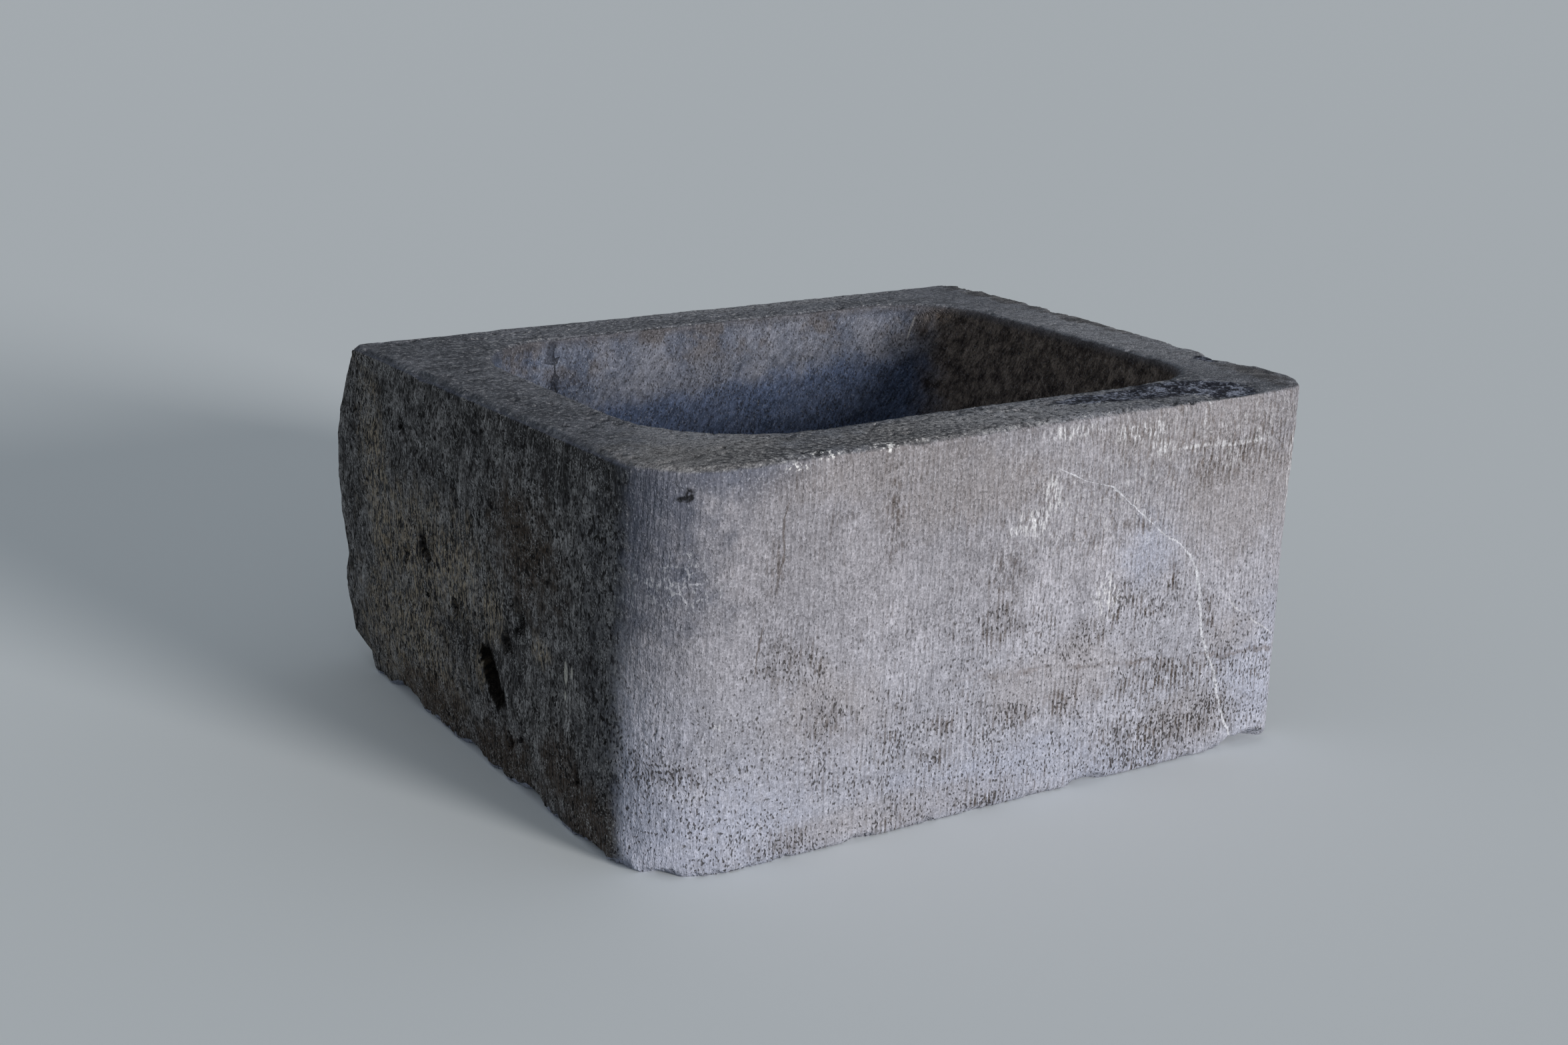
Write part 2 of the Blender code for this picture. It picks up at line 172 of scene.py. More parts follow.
bpy.ops.mesh.primitive_circle_add(vertices=len(top_outline), radius=BORE_RADIUS)
block = bpy.context.object
block.name = block.data.name = "carved_block"
steps = np.roll(top_outline, -1, axis=0) - top_outline
run = np.concatenate(((0.0,), np.cumsum(np.linalg.norm(steps, axis=1))[:-1]))
for name, values in (("along", run), ("reach", np.zeros(len(run)))):
    block.data.attributes.new(name, "FLOAT", "POINT").data.foreach_set("value", values)

bpy.ops.object.mode_set(mode="EDIT")
bpy.ops.mesh.select_mode(type="EDGE")
for course, (points, height) in enumerate(courses):
    if course:
        bpy.ops.mesh.extrude_edges_move()
    shape = bmesh.from_edit_mesh(block.data)
    along = shape.verts.layers.float["along"]
    reach = shape.verts.layers.float["reach"]
    ring = sorted((vert for vert in shape.verts if vert.select), key=lambda vert: vert[along])
    for vert, point in zip(ring, points):
        vert.co = (*point, height)
        vert[reach] = course
    bmesh.update_edit_mesh(block.data)


def select_edges(wanted):
    """Select the edges of the block whose two courses answer to wanted."""
    shape = bmesh.from_edit_mesh(block.data)
    reach = shape.verts.layers.float["reach"]
    for edge in shape.edges:
        edge.select_set(wanted(edge.verts[0][reach], edge.verts[1][reach]))
    bmesh.update_edit_mesh(block.data)


# The arrises are worn round, the foot of the basin is coved and the seat's edge is eased:
# each has a course, a width and a number of segments.
ARRISES = ((FOOT, 0.005, 3), (TOP, 0.008, 6), (MOUTH, 0.005, 5), (BASIN_FOOT, 0.034, 12),
           (SEAT, 0.002, 3))
for course, width, segments in ARRISES:
    select_edges(lambda one, two: one == two == course)
    bpy.ops.mesh.bevel(offset=width, offset_type="OFFSET", segments=segments, affect="EDGES")

# Rows between each course and the next, so that strokes, pits and grain can be cut there.
MERGED = 0.00001
ROWS = ((0, 4), (5, 2), (6, 4), (7, 8), (4, 26), (2, 28), (3, 56), (1, 84))
for course, rows in ROWS:
    select_edges(lambda one, two: {round(one), round(two)} == {course, course + 1}
                 and abs(one - two) > 0.5)
    bpy.ops.mesh.subdivide(number_cuts=rows - 1)

bpy.ops.mesh.select_all(action="SELECT")
bpy.ops.mesh.remove_doubles(threshold=MERGED)
bpy.ops.mesh.normals_make_consistent(inside=False)
bpy.ops.object.mode_set(mode="OBJECT")

count = len(block.data.vertices)
points = np.empty(count * 3)
facing = np.empty(count * 3)
along = np.empty(count)
reach = np.empty(count)
block.data.vertices.foreach_get("co", points)
block.data.vertex_normals.foreach_get("vector", facing)
block.data.attributes["along"].data.foreach_get("value", along)
block.data.attributes["reach"].data.foreach_get("value", reach)
points = points.reshape(-1, 3)
facing = facing.reshape(-1, 3)

# The true way round at each point: along the top outside, along the mouth in the basin.
mouth_steps = np.diff(outline(mouth_corners, BASIN_RADII), axis=0)
mouth_run = np.concatenate(((0.0,), np.cumsum(np.linalg.norm(mouth_steps, axis=1))))
way_round = np.where(reach < 2.5, along, np.interp(along, run, mouth_run))

# The way out of the block at each column, seen from above.
column_out = np.roll(top_outline, -1, axis=0) - np.roll(top_outline, 1, axis=0)
column_out = np.column_stack((column_out[:, 1], -column_out[:, 0]))
column_out /= np.linalg.norm(column_out, axis=1)[:, None]
out = np.column_stack((
    np.interp(along, run, column_out[:, 0]), np.interp(along, run, column_out[:, 1]),
    np.zeros(count)))


def ease(values, low, high):
    """A smooth step from 0 at low to 1 at high."""
    share = np.clip((values - low) / (high - low), 0.0, 1.0)
    return share * share * (3 - 2 * share)


# How far each point belongs to each face, from 0 to 1. Tool marks start clear of the seat.
CLEAR_OF_SEAT = 0.060
outside = ease(reach, 0.0, 1.0) * ease(reach, 2.6, 2.0)
walls = outside * ease(np.abs(facing[:, 2]), 0.9, 0.5)
front = walls * ease(-out[:, 1], 0.3, 0.8)
left = walls * ease(-out[:, 0], 0.3, 0.8)
right = walls * ease(out[:, 0], 0.3, 0.8)
back = walls * ease(out[:, 1], 0.3, 0.8)
rim = ease(facing[:, 2], 0.3, 0.9) * ease(reach, 1.9, 2.0) * ease(reach, 3.1, 3.0)
inside = ease(reach, 2.9, 3.05)
drain_zone = ease(np.linalg.norm(points[:, :2] - drain, axis=1), SEAT_RADIUS, CLEAR_OF_SEAT)

# The back was never dressed. It bulges past the rim, as the quarry left it, between two
# end profiles, and the pitching tool took scoops out of it.
REAR_BULGE = 0.0884
PROFILE_HEIGHTS = (0.00, 0.06, 0.09, 0.16, 0.22, 0.28, 0.33, 0.39, 0.46, 0.54, 0.62, 0.70,
                   0.78, 0.86, 0.93, 0.97, 1.00)
LEFT_PROFILE = (0.28, 0.36, 0.84, 0.90, 1.00, 0.98, 0.82, 0.88, 0.92, 0.90, 0.86, 0.80,
                0.62, 0.40, 0.18, 0.05, 0.00)
RIGHT_PROFILE = (0.30, 0.48, 0.60, 0.74, 0.82, 0.86, 0.88, 0.90, 0.88, 0.82, 0.75, 0.64,
                 0.51, 0.34, 0.16, 0.05, 0.00)
PITCHED_DEPTH = 0.018
PITCHED_SPACING = 0.085
PITCHED_RUN_OUT = 0.045
FLAKE_DEPTH = 0.0032
FLAKE_SPACING = 0.024
SCOOP_LEAST = 0.35
SCOOP_STEEPNESS = 1.8
SCOOP_VARIATION = 0.35
SCOOP_TILT = 0.7


def pitched_share(place):
    """How deep the deepest scoop at a place is, as a share of the full depth, where a unit
    is the way from one scoop to the next. Sharp ridges stand between the scoops."""
    deepest = SCOOP_LEAST
    for middle in noise.voronoi(place)[1]:
        chance = noise.cell_vector(middle * 100) * 2 - Vector((1, 1, 1))
        across = place - middle
        share = 1 + SCOOP_VARIATION * chance.y + SCOOP_TILT * chance.dot(across)
        deepest = max(deepest, share - SCOOP_STEEPNESS * across.length_squared)
    return deepest


height_share = points[:, 2] / HEIGHT
across_share = np.clip((points[:, 0] - FRONT_LEFT[0]) / FRONT_WIDTH, 0.0, 1.0)
left_bulge = np.interp(height_share, PROFILE_HEIGHTS, LEFT_PROFILE)
right_bulge = np.interp(height_share, PROFILE_HEIGHTS, RIGHT_PROFILE)
bulge = left_bulge + (right_bulge - left_bulge) * across_share
back_share = np.clip((points[:, 1] - FRONT_LEFT[1]) / LEFT_DEPTH, 0.0, 1.0)
points[:, 1] += REAR_BULGE * bulge * back_share * np.clip(reach, 0, 1) * (reach <= 2.02)
pitched = np.flatnonzero((out[:, 1] > 0.05) & (reach < 3))
for index in pitched:
    place = Vector(points[index]) - Vector((*FRONT_LEFT, 0.0))
    taken = PITCHED_DEPTH * pitched_share(place / PITCHED_SPACING)
    taken += FLAKE_DEPTH * (pitched_share(place / FLAKE_SPACING) - SCOOP_LEAST)
    taken *= min(1.0, (HEIGHT - place.z) / PITCHED_RUN_OUT + 0.1)
    fade = min(1.0, reach[index]) * min(1.0, max(0.0, 1 - 1.5 * (reach[index] - 2)))
    points[index, 1] -= out[index, 1] ** 2 * taken * fade

# The right side swells a little below the rim, behind the front corner.
SWELL = 0.006
SWELL_BACK = 0.062
SWELL_LENGTH = 0.045
SWELL_LOW = 0.12
SWELL_HIGH = 0.33
swollen = np.clip(1 - ((points[:, 1] - FRONT_LEFT[1] - SWELL_BACK) / SWELL_LENGTH) ** 2, 0.0, 1.0)
points[:, 0] += (SWELL * swollen * ease(out[:, 0], 0.3, 0.9)
                 * ease(points[:, 2], SWELL_LOW, SWELL_HIGH) * ease(reach, 2.6, 2.0))

# Wear and breakage: the front arris is worn hollow near its right end, spalls are gone from
# the top and the foot, and the back right corner is broken away. Each loss is a bowl that
# is taken out of the stone.
SPALL = np.array((0.100, 0.042, 0.014))
BROKEN_CORNER = (0.110, 0.110, 0.026)
FOOT_CHIP = (0.090, 0.040, 0.008)
DARK_FROM = 0.004
UP = np.array((0.0, 0.0, 1.0))
LEFT = np.array((-1.0, 0.0, 0.0))
FRONT = np.array((0.0, -1.0, 0.0))
hollow = np.zeros(count)


def cloud(places, size, seed):
    """Smooth noise from -1 to 1 with lumps of about a size, or of one size along each axis."""
    lattice = np.random.default_rng(seed).uniform(-1.0, 1.0, (32, 32, 32))
    tilt = np.array(Matrix.Rotation(0.6, 3, Vector((0.4, 0.7, 0.6))))
    scaled = (places / size) @ tilt
    cell = np.floor(scaled).astype(int)
    share = scaled - cell
    share = share * share * (3 - 2 * share)
    total = np.zeros(len(places))
    for corner in np.ndindex(2, 2, 2):
        weight = np.prod(np.where(corner, share, 1 - share), axis=1)
        x, y, z = ((cell + corner) % 32).T
        total += weight * lattice[x, y, z]
    return total


def carve(place, towards, run_of_it, size, roughness=0.15, roundness=1.0, seed=1, dark=0.0):
    """Take a bowl of size (length, width, depth) out of the stone at a place. Towards is
    the way the tool came from, and the length lies along run_of_it. Dark is how dark the
    bowl is painted, partly as dirt and partly as painted shade."""
    towards = unit(np.array(towards, float))
    lengthwise = np.array(run_of_it, float)
    lengthwise = unit(lengthwise - towards * (lengthwise @ towards))
    sideways = np.cross(towards, lengthwise)
    length, width, depth = size
    near = np.flatnonzero(np.abs(points[:, 0] - place[0]) < max(size))
    near = near[np.abs(points[near] - place).max(axis=1) < max(size)]
    local = points[near] - place
    raised = local @ towards
    spread = ((local @ lengthwise) / (length / 2)) ** 2 + ((local @ sideways) / (width / 2)) ** 2
    spread += roughness * cloud(points[near], min(length, width) / 4, seed)
    bowl = -depth * np.clip(1 - spread, 0.0, 1.0) ** roundness
    cut = (raised > bowl) & (spread < 1) & (raised < depth)
    chosen = near[cut]
    taken = (raised - bowl)[cut]
    points[chosen] -= taken[:, None] * towards
    hollow[chosen] = np.maximum(hollow[chosen], dark * np.clip(taken / DARK_FROM, 0.0, 1.0))


def between(start, end, share):
    return start + (end - start) * share


tops = [np.array((*corner, HEIGHT)) for corner in top_corners]
feet = [np.array((*corner, 0.0)) for corner in foot_corners]
# Spalls along an arris, from its start to its end: how far along each is, and its scale.
SPALLS = (
    (tops[2], tops[3], UP - LEFT, ((0.22, 0.70), (0.66, 0.60), (0.84, 0.70))),
    (tops[1], tops[0], UP + LEFT, ((0.30, 0.45), (0.72, 0.60))),
    (tops[1], tops[2], UP + FRONT, ((0.36, 0.40),)),
    (feet[1], feet[0], LEFT - UP, ((0.16, 0.55), (0.38, 0.80), (0.60, 0.70), (0.88, 1.00))),
    (feet[1], feet[2], FRONT - UP, ((0.30, 0.45), (0.66, 0.60), (0.94, 0.90))),
)
for start, end, towards, spalls in SPALLS:
    for share, scale in spalls:
        carve(between(start, end, share), towards, end - start, SPALL * scale)
carve(tops[3], UP - LEFT - FRONT, FRONT - LEFT, BROKEN_CORNER)
# The worn hollow is two shallow dishes: how far along the front arris, and their sizes.
WORN_HOLLOW = ((0.845, (0.190, 0.110, 0.0025)), (0.862, (0.130, 0.060, 0.0042)))
for share, size in WORN_HOLLOW:
    carve(between(tops[1], tops[2], share), UP, LEFT, size, roughness=0.05)
# Bites out of the right arris: how far back each is, its size and its depth.
ARRIS_WORN = 0.0035
BITES = (
    (0.168, 0.026, 0.0045), (0.222, 0.044, 0.0120), (0.245, 0.022, 0.0080),
    (0.300, 0.034, 0.0045), (0.338, 0.024, 0.0040), (0.410, 0.020, 0.0020),
    (0.490, 0.026, 0.0025), (0.560, 0.020, 0.0020), (0.625, 0.022, 0.0030),
    (0.668, 0.034, 0.0080), (0.735, 0.036, 0.0045), (0.790, 0.024, 0.0035),
    (0.870, 0.038, 0.0080), (0.940, 0.046, 0.0090))
for share, size, depth in BITES:
    carve(between(tops[2], tops[3], share), UP - LEFT * 0.8, FRONT,
          (size * 1.2, size, depth + ARRIS_WORN), roughness=0.6, seed=int(share * 100))
foot_arc = np.array((*courses[FOOT][0][ARC_START + CORNER_CUTS[1] // 2], 0.0))
carve(foot_arc, LEFT + FRONT - UP * 1.6, LEFT - FRONT, FOOT_CHIP, roundness=1.4)

# A natural cavity in the left face, a slanting pocket as deep as a thumb, and single holes
# round about. Both lists say how far from the front, how far up and how wide.
CAVITY = ((0.3070, 0.0970, 0.042), (0.2960, 0.0850, 0.036), (0.2910, 0.0760, 0.022))
CAVITY_RUN = (0.0, 0.038, 0.041)
HOLES = (
    (0.2709, 0.1351, 0.012), (0.2640, 0.1290, 0.008), (0.2394, 0.1607, 0.011),
    (0.2460, 0.1520, 0.007), (0.2599, 0.1759, 0.006), (0.2662, 0.0405, 0.011),
    (0.1303, 0.0540, 0.009), (0.3825, 0.1348, 0.010), (0.3048, 0.1954, 0.005),
    (0.4451, 0.1304, 0.007), (0.1808, 0.1898, 0.005), (0.1744, 0.1171, 0.005),
    (0.5436, 0.1593, 0.008), (0.4509, 0.1797, 0.013), (0.4420, 0.1700, 0.009),
    (0.4960, 0.1559, 0.010), (0.4880, 0.1660, 0.008), (0.4855, 0.2881, 0.008),
    (0.2420, 0.0494, 0.006))


def on_left_face(back_from_front, up):
    share = back_from_front / LEFT_DEPTH
    return between(between(feet[1], feet[0], share), between(tops[1], tops[0], share), up / HEIGHT)


# The cavity and the holes are painted dark, partly as dirt and partly as painted shade inside them.
for back_from_front, up, size in CAVITY:
    carve(on_left_face(back_from_front, up), LEFT, CAVITY_RUN, (size, size * 0.76, size * 0.50),
          roughness=1.0, roundness=0.9, seed=5, dark=1.0)
for back_from_front, up, size in HOLES:
    carve(on_left_face(back_from_front, up), LEFT, UP, (size * 1.7, size * 1.3, size * 0.7),
          roughness=0.8, roundness=0.7, seed=int(up * 10000), dark=0.84)

# Nicks along the left, front, right and back arris of the top and of the foot: how many,
# the deepest, the longest, and how far the arris was worn back before. The front corner
# of the right arris is sound.
TOP_NICKS = (
    (50, 0.0050, 0.030, 0.0022), (20, 0.0025, 0.030, 0.0015), (60, 0.0030, 0.020, 0.0036),
    (50, 0.0060, 0.040, 0.0022))
FOOT_NICKS = (
    (56, 0.0070, 0.034, 0.0018), (26, 0.0036, 0.030, 0.0018), (30, 0.0065, 0.034, 0.0018),
    (30, 0.0065, 0.034, 0.0018))
RIGHT_FACE = 2
BACK_FACE = 3
SOUND_CORNER = FRONT_LEFT[1] + 0.080
luck = np.random.default_rng(17)
column_face = np.argmax(np.column_stack((
    -column_out[:, 0], -column_out[:, 1], column_out[:, 0], column_out[:, 1])), axis=1)
for height, up, nicks in ((HEIGHT, 1, TOP_NICKS), (0.0, -1, FOOT_NICKS)):
    edge = top_outline if up == 1 else courses[FOOT][0]
    for face, (number, deepest, longest, bevel) in enumerate(nicks):
        columns = luck.choice(np.flatnonzero(column_face == face), number)
        for column in columns:
            place = np.array((*edge[column], height))
            if face == RIGHT_FACE and up == 1 and place[1] < SOUND_CORNER:
                continue
            if face == BACK_FACE:
                near = np.flatnonzero(np.abs(along - run[column]) < 0.003)
                place[1] = points[near][np.abs(points[near, 2] - height) < 0.02, 1].max()
            ahead = np.array((*column_out[column], up * luck.uniform(0.4, 1.2)))
            size = luck.uniform(0.008, longest)
            depth = min(deepest, size * 0.22) * luck.uniform(0.5, 1.0)
            carve(place, ahead, (-column_out[column, 1], column_out[column, 0], 0.0),
                  (size, size * 0.7, depth + bevel), roughness=0.5, seed=int(column))

# The dressing: no face was made quite flat, and the rim is worn down a little.
WAVE = 0.0014
RIM_WORN = 0.0009
points += out * (cloud(points, 0.130, 11) * WAVE * (walls - inside) * drain_zone)[:, None]
points[:, 2] -= (cloud(points, 0.110, 12) + 0.9) * RIM_WORN * rim

# Pits stand in crowds, low down on the front. Each face has a number of them, the smallest
# and the largest, and how dark they are painted, partly dirt and partly painted shade.
crowded = cloud(points, 0.060, 41) + 0.5 * cloud(points, 0.025, 42)
crowded += front * (0.48 - 3.0 * points[:, 2])
flat_left = left * ease(-out[:, 0], 0.93, 0.99)
PITS = (
    (front, 70, 0.0025, 0.0045, 0.8), (flat_left, 360, 0.0026, 0.0066, 1.5),
    (right, 120, 0.004, 0.008, 0.8), (rim, 230, 0.0035, 0.0080, 0.8),
    (inside * drain_zone, 130, 0.004, 0.008, 0.8))
for zone, number, smallest, largest, dark in PITS:
    spots = np.flatnonzero((zone > 0.8) & (crowded > luck.uniform(-0.5, 0.7, count)))
    for spot in luck.choice(spots, number):
        size = luck.uniform(smallest, largest)
        carve(points[spot], facing[spot], (0.1, 0.2, 1.0) if abs(facing[spot, 2]) < 0.9 else LEFT,
              (size * luck.uniform(1.0, 1.8), size, size * 0.28), roughness=0.8, seed=int(spot),
              dark=dark)
hollow = np.minimum(hollow, 1.0)

# The strokes of the chisel: upright flutes outside, fainter where the front left corner is
# worn, and slanting gouges in the basin.
STROKE_PITCH = 0.005
STROKE_DEPTH = 0.00055
GOUGE_DEPTH = 0.00130
BASIN_SLANT = 0.55
upright = np.column_stack((way_round, points[:, 2], np.zeros(count)))
flutes = (way_round + BASIN_SLANT * points[:, 2] * inside) / STROKE_PITCH
flutes += (0.45 * cloud(upright, (0.040, 0.055, 1.0), 21)
           + 0.22 * cloud(upright, (0.010, 0.025, 1.0), 22))
streaks = cloud(upright, (0.0030, 0.024, 1.0), 23)
groove = np.clip(0.70 * streaks - 0.60 * np.cos(2 * math.pi * flutes), 0.0, 1.0)
held = ease(cloud(upright, (0.110, 0.070, 1.0), 24), -0.7, 0.5)
worn_corner = ease(along, run[ARC_START] + 0.02, run[ARC_START] + 0.28)
strokes = groove * held * (front * (0.20 + 0.75 * worn_corner) + 0.55 * left + 0.45 * right)
slanted = upright + np.column_stack((BASIN_SLANT * points[:, 2], np.zeros((count, 2))))
gouges = np.clip(cloud(slanted, (0.0065, 0.020, 1.0), 25) + 0.2, 0.0, 1.0) * inside * drain_zone
points -= out * (STROKE_DEPTH * strokes - GOUGE_DEPTH * gouges)[:, None]

# Grain and lumps, and how deep they are on the front, left, right, back, rim and inside.
GRAIN_DEPTHS = (0.00012, 0.00030, 0.00022, 0.00045, 0.00032, 0.00025)
LUMP_DEPTHS = (0.00022, 0.00060, 0.00040, 0.00120, 0.00035, 0.00040)
grain = cloud(points, 0.0045, 31) + 0.6 * cloud(points, 0.0024, 32)
lumps = cloud(points, 0.012, 33) + 0.7 * cloud(points, 0.026, 34)
for relief, depths in ((grain, GRAIN_DEPTHS), (lumps, LUMP_DEPTHS)):
    faces = (front, left, right, back, rim, inside * drain_zone)
    depth = sum(most * face for most, face in zip(depths, faces))
    points += facing * (relief * depth)[:, None]

np.clip(points, cad_low, cad_high, out=points)
block.data.vertices.foreach_set("co", points.ravel())
# The darkness of the deep holes, partly painted shade, reaches one step past their edges.
ends = np.empty(len(block.data.edges) * 2, int)
block.data.edges.foreach_get("vertices", ends)
one, other = ends.reshape(-1, 2).T
deep = np.where(hollow > 0.85, hollow, 0.0)
np.maximum.at(hollow, one, deep[other])
np.maximum.at(hollow, other, deep[one])

seam = (along < run[1] / 2) | (along > (run[-1] + run[-2]) / 2)
for name, values in (
        ("facing", facing), ("hollow", hollow), ("flutes", flutes), ("way_round", way_round),
        ("seam", seam * 1.0)):
    kind, slot = ("FLOAT_VECTOR", "vector") if values.ndim == 2 else ("FLOAT", "value")
    block.data.attributes.new(name, kind, "POINT").data.foreach_set(slot, values.ravel())
block.data.update()
bpy.ops.object.shade_smooth()
# Flat stretches lose points that they don't need, which keeps the block under 200,000 faces.
thin = block.modifiers.new("thin", "DECIMATE")
thin.ratio = 0.29
bpy.ops.object.modifier_apply(modifier="thin")
for vertex in block.data.vertices:
    vertex.co = np.clip(vertex.co, cad_low, cad_high)

# The finish of the stone. Its nodes read the place on the block, the way its face looked
# before it was worked, and how far round the block and over its edge a point lies.
stone = bpy.data.materials.new("tooled_limestone")
stone.use_nodes = True
nodes, wires = stone.node_tree.nodes, stone.node_tree.links
shader = nodes["Principled BSDF"]


def put(kind, inputs, output=0, **settings):
    """Add a node with its settings, and feed its sockets with values or other sockets."""
    node = nodes.new(kind)
    for name, value in settings.items():
        setattr(node, name, value)
    for name, value in inputs.items():
        if isinstance(value, bpy.types.NodeSocket):
            wires.new(value, node.inputs[name])
        else:
            node.inputs[name].default_value = value
    return node.outputs[output]


def maths(way, first, second=0.0, third=0.0):
    return put("ShaderNodeMath", {0: first, 1: second, 2: third}, operation=way)


def step(value, start, end, low=0.0, high=1.0):
    """Turn a value smoothly from low at start to high at end."""
    return put("ShaderNodeMapRange", {
        "Value": value, "From Min": start, "From Max": end, "To Min": low, "To Max": high,
    }, interpolation_type="SMOOTHSTEP")


def mottle(where, size, detail=2.0, roughness=0.5, distortion=0.0):
    """Noise from 0 to 1 with lumps of about a size in metres."""
    return put("ShaderNodeTexNoise", {
        "Vector": where, "Scale": 1.0 / size, "Detail": detail, "Roughness": roughness,
        "Distortion": distortion})


def tint(share, under, over, way="MIX"):
    return put("ShaderNodeMix", {0: share, 6: under, 7: over}, 2, data_type="RGBA", blend_type=way)


def colour(red, green, blue):
    return (red, green, blue, 1.0)


def both(first, *others):
    for other in others:
        first = maths("MULTIPLY", first, other)
    return first


def add(first, *others):
    for other in others:
        first = maths("ADD", first, other)
    return first


def less(value, taken):
    return maths("SUBTRACT", value, taken)


def attribute(name, output):
    return put("ShaderNodeAttribute", {}, output, attribute_name=name)


def parts_of(vector):
    node = nodes.new("ShaderNodeSeparateXYZ")
    wires.new(vector, node.inputs[0])
    return node.outputs


place = put("ShaderNodeTexCoord", {}, 3)
x, y, z = parts_of(place)
face_x, face_y, face_z = parts_of(attribute("facing", 1))
round_it = attribute("way_round", 2)
over_edge = attribute("reach", 2)
dirt_and_shade_in_hollows = attribute("hollow", 2)
flutes_passed = attribute("flutes", 2)
off_seam = step(attribute("seam", 2), 0.5, 0.1)

# Grain and blotches of the stone itself, from the broadest to the finest.
broad = mottle(place, 0.120, 2.0, 0.50)
cloudy = mottle(place, 0.045, 4.0, 0.60)
blotch = mottle(place, 0.016, 3.0, 0.60)
grain = mottle(place, 0.0042, 2.0, 0.60)
fine_grain = mottle(place, 0.0018, 1.0, 0.60)
tall = put("ShaderNodeVectorMath", {0: place, 1: (1.0, 1.0, 0.6)}, operation="MULTIPLY")
pin_holes = mottle(tall, 0.0018, 0.0, 0.50)
crowding = mottle(place, 0.050, 3.0, 0.65)

# Where each face lies on the block, from 0 to 1.
in_basin = step(over_edge, 2.97, 3.05)
on_wall = step(over_edge, 2.06, 1.98)
ragged = both(less(blotch, 0.5), 0.10)
on_rim = both(step(add(face_z, both(ragged, 6.0)), 0.30, 0.80), step(over_edge, 1.5, 1.6),
              step(over_edge, 3.05, 2.98))
on_left = both(on_wall, step(less(ragged, face_x), 0.900, 0.985))
on_right = both(on_wall, step(face_x, 0.35, 0.90))
on_back = both(on_wall, step(face_y, 0.35, 0.90))

# The flutes of the mason's chisel, 5 mm apart: upright outside, slanting in the basin. Dirt
# and broken crystals lie along their bottoms in dashes. The dark bottoms are partly painted
# shade, and the pale ridges partly painted highlight.
flute = maths("FLOOR", flutes_passed)
bottom = both(maths("ABSOLUTE", less(maths("FRACT", flutes_passed), 0.5)), 2.0)
dash_place = put("ShaderNodeCombineXYZ", {0: both(flute, 3.7), 1: both(z, 1 / 0.016), 2: flute})
dashes = put("ShaderNodeTexNoise", {
    "Vector": dash_place, "Scale": 1.0, "Detail": 2.0, "Roughness": 0.6})
streaks = put("ShaderNodeTexNoise", {
    "Vector": put("ShaderNodeCombineXYZ", {0: both(round_it, 1 / 0.010), 1: both(z, 1 / 0.12)}),
    "Scale": 1.0, "Detail": 3.0, "Roughness": 0.6})
fibres = put("ShaderNodeTexNoise", {
    "Vector": put("ShaderNodeCombineXYZ", {
        0: both(add(round_it, both(z, in_basin, BASIN_SLANT)), 1 / 0.0024), 1: both(z, 1 / 0.0100),
        2: both(y, 40.0)}),
    "Scale": 1.0, "Detail": 2.0, "Roughness": 0.6})
crisp = both(step(round_it, run[ARC_START] + 0.02, run[ARC_START] + 0.30, 0.20, 1.0),
             step(cloudy, 0.35, 0.60, 0.30, 1.0))
groove = both(step(bottom, 0.62, 0.20), step(dashes, 0.46, 0.60), off_seam)
ridge = both(step(bottom, 0.55, 0.95), step(dashes, 0.60, 0.40), off_seam)


def on_front(along_front, up):
    return (FRONT_LEFT[0] + along_front, 0.0, up)


def on_side(back, up):
    return (0.0, FRONT_LEFT[1] + back, up)


def on_top(along_front, back):
    return (FRONT_LEFT[0] + along_front, FRONT_LEFT[1] + back, 0.0)


def patches(places, uneven=1.2, soft=0.9):
    """A share from 0 to 1 that is 1 in the middle of ragged patches. Each patch is a centre
    and a size, where a size of 0 leaves that direction out."""
    nearest = 9.0
    for centre, size in places:
        scale = [1 / length if length else 0.0 for length in size]
        shift = [-middle * factor for middle, factor in zip(centre, scale)]
        local = put("ShaderNodeVectorMath", {0: place, 1: scale, 2: shift}, operation="MULTIPLY_ADD")
        off = put("ShaderNodeVectorMath", {0: local}, 1, operation="LENGTH")
        nearest = maths("MINIMUM", off, nearest)
    ragged_off = add(nearest, both(less(blotch, 0.5), uneven), both(less(cloudy, 0.5), uneven))
    return step(ragged_off, 1 + soft / 2, 1 - soft / 2)


def line(route, width, wobble=0.006):
    """A thin line on the front through places (along the front, up), from its foot upwards."""
    node = nodes.new("ShaderNodeFloatCurve")
    curve = node.mapping.curves[0]
    shares = [(up / HEIGHT, along_front / FRONT_WIDTH) for along_front, up in route]
    curve.points[0].location = shares[0]
    curve.points[1].location = shares[-1]
    for share in shares[1:-1]:
        curve.points.new(*share)
    for point in curve.points:
        point.handle_type = "VECTOR"
    node.mapping.update()
    wires.new(both(z, 1 / HEIGHT), node.inputs["Value"])
    middle = maths("MULTIPLY_ADD", node.outputs[0], FRONT_WIDTH, FRONT_LEFT[0])
    shaky = both(less(mottle(place, 0.008, 3.0, 0.6), 0.5), wobble)
    off = maths("ABSOLUTE", add(less(x, middle), shaky))
    thick = both(step(mottle(place, 0.018, 2.0), 0.30, 0.70, 0.5, 1.8), width)
    across = step(maths("DIVIDE", off, thick), 1.2, 0.6)
    lowest, highest = route[0][1], route[-1][1]
    return both(across, step(z, lowest - 0.004, lowest), step(z, highest + 0.002, highest - 0.006))


